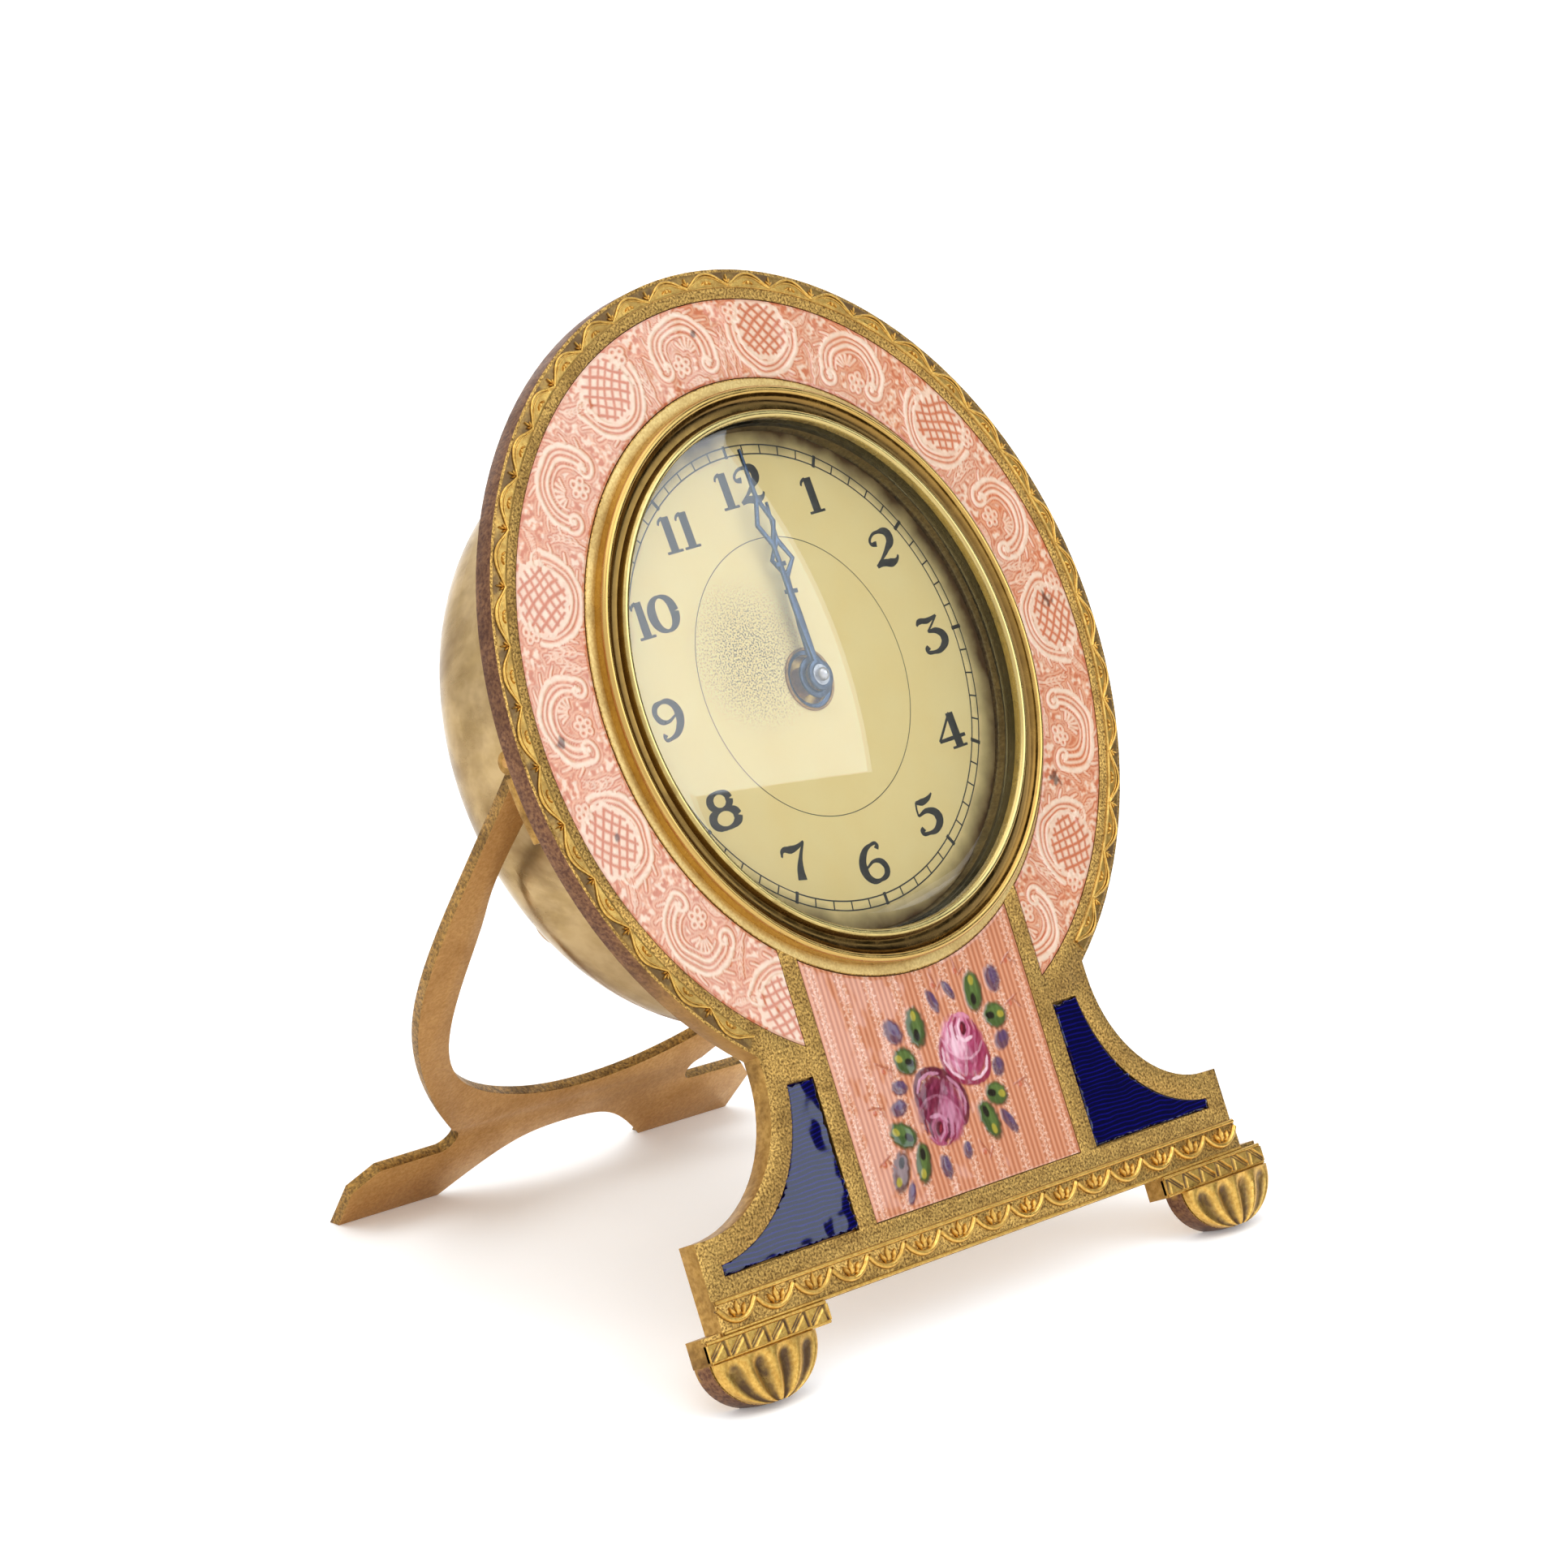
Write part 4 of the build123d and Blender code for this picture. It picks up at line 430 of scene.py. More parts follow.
# Foot bands: a face cut by a zigzag of grooves with a second groove beside each slope, between two rails
rails = []
bm = bmesh.new()
cut_layer = bm.verts.layers.float.new("relief")
ZIGZAGS = 6
zig_pitch = (BAND_OUT - BAND_IN) / ZIGZAGS
band_height = BAND_DROP - BASE_DROP - 0.5
for side in (-1, 1):
    made = bmesh.ops.create_grid(bm, x_segments=190, y_segments=22, size=1.0)["verts"]
    for vert in made:
        along = (vert.co.x + 1) / 2 * (BAND_OUT - BAND_IN)
        rise = (vert.co.y + 1) / 2
        share = along / zig_pitch % 1
        cuts = (0.12 + 0.06 * rise, 0.2 + 0.75 * (1 - rise), 0.38 + 0.72 * (1 - rise))
        groove = max(1 - smooth(0.03, 0.11, abs(share - s)) for s in cuts)
        vert[cut_layer] = 0.85 - 0.8 * groove
        vert.co = (side * (BAND_IN + along), -BAND_DROP + 0.25 + band_height * rise, 0.6 - 0.17 * groove)
    for v in (-BASE_DROP - 0.1, -BAND_DROP + 0.14):
        rails.append([(side * (BAND_IN + 0.1), v, 0.42, 0.17), (side * (BAND_OUT - 0.1), v, 0.42, 0.17)])
closed_under(bm, 0.1)
rails = set_relief(wires("foot_rails", rails, sides=2), 0.3, 0.6)
shaped("foot_bands", joined([bm, rails]), [gilt_relief], "case", smooth=60)

# Melon feet: hollow flutes between ribs that meet at the bottom
bm = bmesh.new()
FLUTES = 4
relief_layer = bm.verts.layers.float.new("relief")
for side in (-1, 1):
    made = bmesh.ops.create_grid(bm, x_segments=70, y_segments=26, size=1.0)["verts"]
    for vert in made:
        across, fall = vert.co.x, (1 - vert.co.y) / 2
        narrow = sqrt(max(0.0, 1 - (fall * 0.985) ** 2))
        phase = (across + 1) / 2 * FLUTES
        rib = abs(cos(pi * phase)) ** 2.5
        lip = max(0.0, 1 - fall / (0.16 + 0.14 * rib))
        belly = sqrt(max(0.0, 1 - (across * 0.98) ** 2)) * sqrt(max(0.0, 1 - (fall * 0.97) ** 2))
        deep = 0.6 * (1 - rib) * min(1.0, fall * 3 + 0.25) * (1 - lip * 0.6)
        vert[relief_layer] = min(1.0, 1.1 * rib + 0.9 * lip)
        vert.co = (side * MELON_MIDDLE + (MELON_HALF - 0.12) * across * narrow,
                   -BAND_DROP - 0.02 - (MELON_DEPTH - 0.1) * fall, 0.63 + 0.9 * belly - deep * belly)
    for vert in made:
        high = plate @ vert.co
        if high.z < 0.0:
            vert.co.y += -high.z / MM
closed_under(bm, 0.1)
shaped("melon_feet", bm, [gilt_relief], "case", smooth=60)


# Enamel: the stamped ground under the glaze is drawn as strokes on a strip of the ring


def scroll(cu, cv, ru, rv, start, end, half, steps=28, shrink=1.0):
    """Points of an arc or spiral with its half width, about a centre."""
    points = []
    for k in range(steps + 1):
        share = k / steps
        turn = radians(start + (end - start) * share)
        size = 1 + (shrink - 1) * share
        points.append((cu + ru * size * cos(turn), cv + rv * size * sin(turn), half))
    return points


def flower(cu, cv, size):
    """Five round petals about an eye."""
    strokes = [scroll(cu, cv, size * 0.32, size * 0.32, 0, 360, size * 0.12, 12)]
    for k in range(5):
        turn = radians(72 * k + 20)
        strokes.append(scroll(cu + size * 0.72 * cos(turn), cv + size * 0.72 * sin(turn), size * 0.34,
                              size * 0.34, 0, 360, size * 0.13, 12))
    return strokes


def frond(u, v, length, turn, bend, half):
    """A leaf spray: a bent stalk with leaflets on both sides."""
    strokes, stalk = [], []
    for k in range(13):
        share = k / 12
        way = radians(turn + bend * share)
        stalk.append((u, v, half * (1.15 - share)))
        if k in (2, 4, 6, 8, 10):
            for side in (-1, 1):
                tip = way + side * radians(48)
                reach = length * 0.34 * (1 - share * 0.55)
                leaflet = []
                for t in (0.1, 0.4, 0.7, 1.0):
                    curl = tip - side * 0.5 * t
                    leaflet.append((u + reach * t * cos(curl), v + reach * t * sin(curl),
                                    half * (1.0 - 0.55 * t)))
                strokes.append(leaflet)
        u += length / 12 * cos(way)
        v += length / 12 * sin(way)
    return strokes + [stalk]


def shell_scroll():
    """A large C-scroll of three lines with curled ends, a flower and a shell under it."""
    strokes = []
    for size, half in ((1.0, 0.27), (0.83, 0.12), (0.68, 0.2), (0.52, 0.1)):
        strokes.append(scroll(0, -0.5, 3.9 * size, 3.6 * size, -8, 196, half))
    strokes.append(scroll(-2.75, -1.75, 1.15, 1.1, 170, 520, 0.22, 26, 0.25))
    strokes.append([(-2.75, -1.75, 0.36), (-2.7, -1.75, 0.36)])
    strokes.append(scroll(2.8, -1.05, 1.2, 1.15, 10, -340, 0.22, 26, 0.25))
    strokes.append([(2.8, -1.05, 0.36), (2.85, -1.05, 0.36)])
    strokes += flower(0.7, -1.4, 0.95)
    for k in range(6):
        way = radians(62 + 22 * k)
        strokes.append([(-0.6 + (0.5 + t) * cos(way), -0.5 + (0.5 + t) * sin(way), 0.13 * (0.7 + 0.5 * t))
                        for t in (0.0, 0.35, 0.7, 1.0)])
    for k in range(9):
        way = radians(10 + 21 * k)
        strokes.append([((4.15 + t) * cos(way + 0.22 * t), -0.5 + (3.8 + t) * sin(way + 0.22 * t),
                         0.13 - 0.06 * t) for t in (0.0, 0.4, 0.8)])
    strokes += frond(-4.7, -3.3, 4.0, 86, 40, 0.1) + frond(-1.9, -3.4, 3.0, 12, -20, 0.09)
    return strokes


def trellis_scroll():
    """A cartouche: a C-scroll open to the top round a field of trellis, with a flower at its lip."""
    strokes = []
    for size, half in ((1.0, 0.27), (0.84, 0.12), (0.71, 0.16)):
        strokes.append(scroll(0.2, 0.5, 4.1 * size, 3.9 * size, 172, 372, half))
    strokes.append(scroll(-2.9, 1.35, 1.05, 1.0, 190, -150, 0.22, 26, 0.25))
    strokes.append([(-2.9, 1.35, 0.36), (-2.85, 1.35, 0.36)])
    strokes += flower(3.3, 2.35, 0.9)
    for k in range(8):
        way = radians(186 + 23 * k)
        strokes.append([(0.2 + (4.3 + t) * cos(way - 0.22 * t), 0.5 + (4.05 + t) * sin(way - 0.22 * t),
                         0.13 - 0.06 * t) for t in (0.0, 0.35, 0.7)])
    strokes += frond(4.8, -3.3, 4.6, 96, -34, 0.1) + frond(-5.1, 3.4, 3.0, -60, 50, 0.09)
    return strokes


def trellis_lines():
    """Crossing grooves inside the cartouche."""
    strokes = []
    for slope in (1, -1):
        for k in range(-6, 7):
            line = []
            for t in np.linspace(-4, 4, 60):
                u, v = 0.25 + t * 0.75 + k * 1.3, 1.15 + slope * t * 0.66
                inside = ((u - 0.3) / 2.85) ** 2 + ((v - 0.9) / 2.7) ** 2 < 1 and v < 3.5
                if inside:
                    line.append((u, v, 0.1))
            if len(line) > 2:
                strokes.append(line)
    return strokes


def strip(strokes, shift, flip):
    """Strokes moved along the ring, mirrored where flip is -1."""
    return [[(shift + flip * u, v, half) for u, v, half in stroke] for stroke in strokes]


def marks(strokes, step=0.07):
    """A search tree of points along strokes, with the half width at each."""
    points = []
    for stroke in strokes:
        for (a, b, p), (c, d, q) in zip(stroke, stroke[1:]):
            count = max(1, int(sqrt((c - a) ** 2 + (d - b) ** 2) / step))
            points += [(a + (c - a) * k / count, b + (d - b) * k / count, p + (q - p) * k / count)
                       for k in range(count)]
    tree = kdtree.KDTree(len(points))
    for k, (u, v, half) in enumerate(points):
        tree.insert((u, v, 0), k)
    tree.balance()
    return tree, [p[2] for p in points]


def blend(a, b, share):
    """Between two colours, or rows of them, by a share for each row."""
    a, b = np.asarray(a), np.asarray(b)
    return a + (b - a) * np.asarray(share)[..., None]


ridges, grooves, pale = [], [], []
period = radians(39.6) * RING_MID
for k in range(-4, 5):
    flip = 1 if k % 2 else -1
    ridges += strip(shell_scroll(), (k - 0.25) * period, flip)
    ridges += strip(trellis_scroll(), (k + 0.25) * period, flip)
    grooves += strip(trellis_lines(), (k + 0.25) * period, flip)
    pale.append((k + 0.25) * period)
ridge_tree, ridge_half = marks(ridges)
groove_tree, _ = marks(grooves)
glaze_ground, glaze_light, glaze_line = tone("ee9d6c"), tone("fde2c8"), tone("c95a2a")
glaze_deep, glaze_chip = tone("e08250"), tone("4b2c24")
CHIPS = ((31.9, 2.5, 0.9), (-32.9, -1.1, 0.7), (25.6, -14.0, 0.8), (-29.8, -9.8, 0.6), (-3.5, 32.0, 0.5))

bm = bmesh.new()
start = -90 + degrees(np.arcsin(RING_GAP / RING_OUT)) - 1.0
a = bm.verts.new((*around(RING_IN + GAP, start), 0))
b = bm.verts.new((*around(RING_OUT - GAP, start), 0))
bmesh.ops.subdivide_edges(bm, edges=[bm.edges.new((a, b))], cuts=70)
bmesh.ops.spin(bm, geom=bm.verts[:] + bm.edges[:], cent=(0, 0, 0), axis=(0, 0, 1),
               angle=radians(180 - 2 * start), steps=1240)
for side in (-1, 1):
    low = [f for f in bm.faces if f.calc_center_median().y < 0 and f.calc_center_median().x * side > 0]
    part = list({e for f in low for e in f.edges}) + list({v for f in low for v in f.verts}) + low
    bmesh.ops.bisect_plane(bm, geom=part, plane_co=(side * (RING_GAP + GAP), 0, 0), plane_no=(side, 0, 0),
                           clear_inner=True)
colour_layer = bm.verts.layers.float_color.new("glaze")
u, v = np.array([vert.co.xy for vert in bm.verts]).T
radius = np.hypot(u, v)
turn = np.arctan2(v, u)
along = -(np.where((v > 0) | (u > 0), turn, turn + 2 * pi) - pi / 2) * RING_MID
edge = np.minimum(radius - RING_IN, RING_OUT - radius)


def cloudy(size, seed):
    """Soft noise at each point, in patches of a size in millimetres."""
    return np.array([noise.noise((a / size, b / size, seed)) for a, b in zip(u, v)])


from_u, from_v = along + 0.3 * cloudy(2.5, 0.0), radius - RING_MID + 0.3 * cloudy(2.5, 7.0)
near, cut = np.zeros(len(u)), np.zeros(len(u))
for k, spot in enumerate(zip(from_u, from_v)):
    _, index, gap = ridge_tree.find((*spot, 0))
    near[k] = gap - ridge_half[index]
    cut[k] = groove_tree.find((*spot, 0))[2]
cloud, fleck = cloudy(4.5, 4.0), cloudy(0.6, 9.0)
mottle = cloudy(0.6, 11.0) + 0.6 * cloudy(0.3, 13.0)
top = 1 - smooth(-0.16, 0.09, near)
far = smooth(0.25, 0.6, near)
outline = 0.85 * np.exp(-((near - 0.1) / 0.075) ** 2) + 0.5 * np.exp(-((near - 0.42) / 0.08) ** 2)
ground = blend(glaze_ground, glaze_deep, smooth(-0.6, 0.8, fleck + cloud * 0.6))
latticed = blend(glaze_light, glaze_line, 0.9 * (1 - smooth(0.06, 0.24, cut)))
latticed = blend(latticed, ground, 0.2 + 0.2 * fleck)
shade = blend(ground, glaze_light, 0.35 + 0.3 * cloud)
shade = blend(shade, glaze_line, 0.7 * far * smooth(0.0, 0.3, mottle))
shade = blend(shade, glaze_light, 0.75 * far * smooth(0.02, 0.3, -mottle))
shade = blend(shade, glaze_line, outline)
shade = blend(shade, glaze_light, top * (0.8 + 0.25 * fleck))
inside = (cut < 0.62) & (np.abs(along[:, None] - np.array(pale)).min(axis=1) < 3.7)
shade = np.where(inside[:, None], latticed, shade)
shade = blend(shade, glaze_line, 0.4 * (1 - smooth(0.1, 0.45, edge)))
for cu, cv, size in CHIPS:
    away = np.hypot(u - cu, v - cv) / size + 0.9 * cloudy(0.55, cu)
    shade = blend(shade, glaze_chip, 0.75 * (1 - smooth(0.35, 0.9, away)))
level = -0.05 + 0.05 * smooth(0.0, 0.3, edge) + 0.03 * top
for k, vert in enumerate(bm.verts):
    vert[colour_layer] = (*shade[k, :3], 1.0)
    vert.co.z = level[k]
closed_under(bm, CELL_FLOOR)

# Pink translucent enamel over a stamped ground: the drawing shows through a smooth glossy coat
pink_enamel, tree, shader, place = finish("pink_translucent_enamel")
drawing = add(tree, "Attribute", attribute_name="glaze")
haze = add(tree, "TexNoise", {"Vector": place, "Scale": 1 / 0.5, "Detail": 4.0})
tint = add(tree, "MapRange", {"Value": haze, "From Min": 0.3, "From Max": 0.7, "To Min": 0.7, "To Max": 0.82})
body_colour = add(tree, "Mix", {"Factor": 1.0, 6: drawing.outputs["Color"], 7: tint},
                  data_type="RGBA", blend_type="MULTIPLY")
feed(tree, shader, {"Base Color": body_colour})
glossy_coat(tree, shader, place, 4.0, 0.42)
shaped("enamel_ring_glaze", bm, [pink_enamel], "case", ["enamel_ring"], smooth=40)

# Painted panel: a spray of two roses, drawn dab by dab over the ribbed ground
dabs = []


def dab(u, v, long, short, turn, colour, strength=1.0):
    """One touch of the brush: an ellipse with a soft rim."""
    dabs.append((u, v, long, short, radians(turn), tone(colour), strength))


def rose(cu, cv, size, turn, deep, mid, blush, light):
    """A cabbage rose seen from the side: a round cup drawn in curved strokes, closing on a dark eye."""
    a = radians(turn)

    def spot(x, y):
        return cu + size * (x * cos(a) - y * sin(a)), cv + size * (x * sin(a) + y * cos(a))

    def touch(x, y, long, short, way, colour, strength):
        dab(*spot(x, y), size * long, size * short, way + turn, colour, strength)

    def stroke(points, half, colour, strength):
        for (x0, y0), (x1, y1) in zip(points, points[1:]):
            reach = sqrt((x1 - x0) ** 2 + (y1 - y0) ** 2)
            way = degrees(atan2(y1 - y0, x1 - x0))
            touch((x0 + x1) / 2, (y0 + y1) / 2, 0.66 * reach + half * 0.4, half, way, colour, strength)

    stroke([(-0.86, 0.2), (-0.98, -0.3), (-0.74, -0.76), (-0.26, -1.04), (0.2, -1.04)], 0.17, deep, 0.9)
    stroke([(0.86, 0.1), (1.0, -0.4), (0.86, -0.82), (0.46, -1.04), (0.1, -1.06)], 0.15, deep, 0.9)
    touch(0.0, 0.0, 1.02, 0.94, 90, mid, 1.0)
    touch(0.3, -0.46, 0.8, 0.5, 30, deep, 0.65)
    touch(0.64, -0.05, 0.74, 0.28, 84, deep, 0.5)
    touch(-0.38, 0.08, 0.78, 0.46, 102, blush, 0.85)
    touch(-0.32, 0.2, 0.56, 0.36, 104, light, 0.8)
    for k, colour in enumerate((blush, light, mid, light, blush, light, mid, blush, deep, mid)):
        long_way = radians(-76 + 16 * k)
        stroke([(0.88 * sin(long_way) * sqrt(1 - (y / 1.05) ** 2) + 0.14 * (y + 0.2), y)
                for y in (-0.84, -0.55, -0.22, 0.1, 0.38)], 0.085, colour, 0.32)
    lip = [(-0.88, 0.2), (-0.62, -0.16), (-0.2, -0.36), (0.24, -0.36), (0.62, -0.14), (0.82, 0.16)]
    stroke([(x, y - 0.13) for x, y in lip], 0.09, deep, 0.28)
    stroke(lip, 0.05, light, 0.28)
    stroke([(-0.92, -0.1), (-0.9, -0.46), (-0.62, -0.8), (-0.22, -0.98)], 0.055, light, 0.75)
    stroke([(0.94, -0.3), (0.86, -0.66), (0.56, -0.92), (0.2, -1.0)], 0.06, light, 0.85)
    touch(0.1, 0.6, 0.42, 0.36, 90, blush, 0.85)
    for line, half, colour in (
            (((-0.24, 0.24), (-0.3, 0.62), (-0.12, 0.94)), 0.06, deep),
            (((0.36, 0.2), (0.46, 0.58), (0.3, 0.92)), 0.06, deep),
            (((0.58, 0.12), (0.68, 0.48), (0.54, 0.8)), 0.05, deep),
            (((-0.5, 0.3), (-0.52, 0.64), (-0.3, 0.94)), 0.05, mid),
            (((-0.2, 0.3), (0.1, 0.18), (0.4, 0.3)), 0.07, light),
            (((-0.16, 0.95), (0.14, 1.02), (0.4, 0.9)), 0.07, blush),
            (((0.18, 0.32), (0.3, 0.6), (0.2, 0.86)), 0.05, mid),
            (((-0.08, 0.36), (-0.12, 0.62), (0.0, 0.84)), 0.05, light)):
        stroke(line, half, colour, 0.85)
    touch(0.09, 0.56, 0.24, 0.15, 84, "55091a", 1.0)
    touch(0.04, 0.56, 0.14, 0.05, 84, "8e2434", 0.9)


VIOLETS = ((9.2, -30.1, 1.35, 1.05, 80), (3.2, -30.0, 1.2, 0.5, 120), (0.9, -30.6, 1.3, 0.6, 110),
           (-5.1, -32.2, 1.4, 1.1, 130), (8.1, -35.6, 1.15, 0.9, 30), (6.6, -37.8, 1.0, 0.85, 70),
           (-6.3, -37.0, 1.1, 0.75, 170), (-7.1, -38.7, 1.15, 0.8, 10), (5.9, -42.7, 1.5, 0.65, 120),
           (-0.3, -44.0, 0.85, 0.6, 80), (-3.5, -44.8, 1.2, 0.75, 90), (-8.6, -46.0, 1.2, 0.5, 60))
WITHERED = "6e5352"
LEAVES = ((6.2, -30.7, 78, 1.9, 1.15, "485a2a"), (8.1, -33.3, -5, 1.45, 1.2, "485a2a"),
          (-2.2, -32.3, 82, 1.85, 1.2, "425226"), (-4.7, -34.9, 155, 1.45, 1.25, "425226"),
          (5.3, -40.0, -15, 1.4, 1.1, "485a2a"), (3.5, -42.0, -75, 1.9, 1.1, "425226"),
          (-7.6, -41.0, 152, 1.7, 1.15, "3e5226"), (-6.2, -43.8, 250, 1.9, 0.95, "465224"),
          (-9.2, -43.9, 238, 1.95, 1.0, WITHERED))
TENDRILS = ((11.8, -28.6, 30, 1.1), (10.8, -32.4, 20, 1.2), (-7.4, -34.9, 150, 1.2), (8.9, -39.6, 10, 1.1),
            (1.9, -44.3, -60, 1.1), (-9.9, -38.1, 170, 1.1), (1.7, -28.9, 110, 1.0), (5.0, -28.2, 100, 0.9),
            (-10.6, -42.6, 200, 1.1))
for u, v, long, short, turn in VIOLETS:
    dab(u, v, long, short, turn, "261d48", 0.78)
    dab(u + 0.2, v + 0.25, long * 0.6, short * 0.5, turn, "453a70", 0.4)
for u, v, turn, long, short, green in LEAVES:
    way = radians(turn)
    sheen = "866a68" if green == WITHERED else "647a3a"
    dab(u + 0.12, v - 0.1, long * 1.06, short * 1.08, turn, "241509", 0.85)
    dab(u, v, long, short, turn, green)
    dab(u + 0.2 * short, v + 0.25 * short, long * 0.7, short * 0.45, turn, sheen, 0.5)
    dab(u + 0.52 * long * cos(way), v + 0.52 * long * sin(way), 0.5, 0.36, turn, "a49634", 0.9)
    dab(u - 0.4 * long * cos(way), v - 0.4 * long * sin(way), 0.62, 0.38, turn, "1c0f08", 0.95)
for u, v, turn, long in TENDRILS:
    dab(u, v, long, 0.11, turn, "9c4a2c", 0.75)
    dab(u + 0.6 * long, v - 0.5, long * 0.7, 0.1, turn - 70, "9c4a2c", 0.7)
    dab(u - 0.2, v - 0.35, 0.3, 0.24, turn, "b8583a", 0.75)
rose(-2.0, -39.9, 3.15, 156, "560c26", "7d213c", "9c4262", "bd8096")
rose(3.0, -35.2, 2.95, -12, "86213f", "ad4a6c", "cd8099", "e8c0ca")

bm = bmesh.new()
bmesh.ops.create_grid(bm, x_segments=290, y_segments=240, size=1.0)
paint_layer = bm.verts.layers.float_color.new("paint")
for vert in bm.verts:
    u = vert.co.x * (PANEL_HALF - GAP)
    head = -sqrt((RING_IN + GAP) ** 2 - u * u)
    vert.co.xy = u, head + (1 - vert.co.y) / 2 * (-PANEL_DROP + GAP - head)
u, v = np.array([vert.co.xy for vert in bm.verts]).T
shake = 0.12 * cloudy(0.45, 0.0)
colour, cover = np.zeros((len(u), 3)), np.zeros(len(u))
for du, dv, long, short, turn, paint, strength in dabs:
    x, y = u - du, v - dv
    away = np.hypot((x * cos(turn) + y * sin(turn)) / long, (y * cos(turn) - x * sin(turn)) / short) + shake
    over = strength * (1 - smooth(0.72, 1.1, away))
    under = cover * (1 - over)
    colour = blend(colour, paint[:3], over / np.maximum(1e-6, over + under))
    cover = over + under
edge = np.minimum.reduce([PANEL_HALF - np.abs(u), v + PANEL_DROP, -v - np.sqrt(RING_IN ** 2 - u * u)])
level = -0.05 + 0.06 * smooth(0.0, 0.35, edge) + 0.03 * cover
for k, vert in enumerate(bm.verts):
    vert[paint_layer] = (*colour[k], cover[k])
    vert.co.z = level[k]
closed_under(bm, CELL_FLOOR)

# Pink enamel over engine-turned ribs: fine upright lines between brighter beaded bands, painted over
rose_enamel, tree, shader, place = finish("painted_rib_enamel")
axes = add(tree, "SeparateXYZ", {"Vector": place})
rib_wave = add(tree, "Math", {0: axes.outputs["X"], 1: 2 * pi / 0.62}, operation="MULTIPLY")
rib_wave = add(tree, "Math", {0: rib_wave}, operation="SINE")
ribs_up = add(tree, "MapRange", {"Value": rib_wave, "From Min": -1.0, "From Max": 1.0})
zig = add(tree, "Math", {0: axes.outputs["Y"], 1: 2 * pi / 0.62}, operation="MULTIPLY")
zig = add(tree, "Math", {0: zig}, operation="SINE")
sway = add(tree, "Math", {0: zig, 1: 0.22, 2: axes.outputs["X"]}, operation="MULTIPLY_ADD")
bands = add(tree, "Math", {0: sway, 1: 2 * pi / 3.2}, operation="MULTIPLY")
bands = add(tree, "Math", {0: bands}, operation="COSINE")
bright = add(tree, "MapRange", {"Value": bands, "From Min": 0.45, "From Max": 0.8})
grit = add(tree, "TexNoise", {"Vector": place, "Scale": 1 / 0.22, "Detail": 2.0})
sparkle = add(tree, "MapRange", {"Value": grit, "From Min": 0.4, "From Max": 0.66, "To Max": 0.7})
shine = add(tree, "Math", {0: bright, 1: sparkle}, operation="MULTIPLY")
ground = add(tree, "Mix", {"Factor": ribs_up, 6: tone("b26c4b"), 7: tone("d49270")}, data_type="RGBA")
ground = add(tree, "Mix", {"Factor": shine, 6: ground, 7: tone("eec9b2")}, data_type="RGBA")
paint = add(tree, "Attribute", attribute_name="paint")
surface = add(tree, "Mix", {"Factor": paint.outputs["Alpha"], 6: ground, 7: paint.outputs["Color"]},
              data_type="RGBA")
relief = add(tree, "Bump", {"Height": ribs_up, "Strength": 0.5, "Distance": 0.08 * MM})
feed(tree, shader, {"Base Color": surface, "Normal": relief})
glossy_coat(tree, shader, place, 5.0, 0.4)
shaped("enamel_panel_glaze", bm, [rose_enamel], "case", ["enamel_panel"], smooth=40)

# Cobalt enamel: deep blue glass over fine engraved lines, its rim ragged
cobalt, tree, shader, place = finish("cobalt_enamel")
axes = add(tree, "SeparateXYZ", {"Vector": place})
drift = add(tree, "TexNoise", {"Vector": place, "Scale": 1 / 6.0, "Detail": 2.0})
level = add(tree, "Math", {0: drift, 1: 1.2, 2: axes.outputs["Y"]}, operation="MULTIPLY_ADD")
rows = add(tree, "Math", {0: level, 1: 2 * pi / 0.42}, operation="MULTIPLY")
rows = add(tree, "Math", {0: rows}, operation="SINE")
fade = add(tree, "TexNoise", {"Vector": place, "Scale": 1 / 2.2, "Detail": 4.0})
lines = add(tree, "MapRange", {"Value": rows, "From Min": 0.2, "From Max": 1.0})
lines = add(tree, "Math", {0: lines, 1: fade}, operation="MULTIPLY")
blue = add(tree, "Mix", {"Factor": lines, 6: tone("03032c"), 7: tone("110e78")}, data_type="RGBA")
across = add(tree, "Math", {0: axes.outputs["X"], 1: 25.0}, operation="ADD")
swell = add(tree, "Math", {0: across, 1: across}, operation="MULTIPLY")
swell = add(tree, "Math", {0: swell, 1: -0.5}, operation="MULTIPLY")
swell = add(tree, "Math", {0: drift, 1: 34.0, 2: swell}, operation="MULTIPLY_ADD")
skin = add(tree, "Bump", {"Height": swell, "Strength": 1.0, "Distance": 0.0018 * MM})
feed(tree, shader, {"Base Color": blue, "Coat Normal": skin, "Roughness": 0.5, "IOR": 1.52,
                    "Specular IOR Level": 0.0, "Coat Weight": 1.0, "Coat Roughness": 0.03})
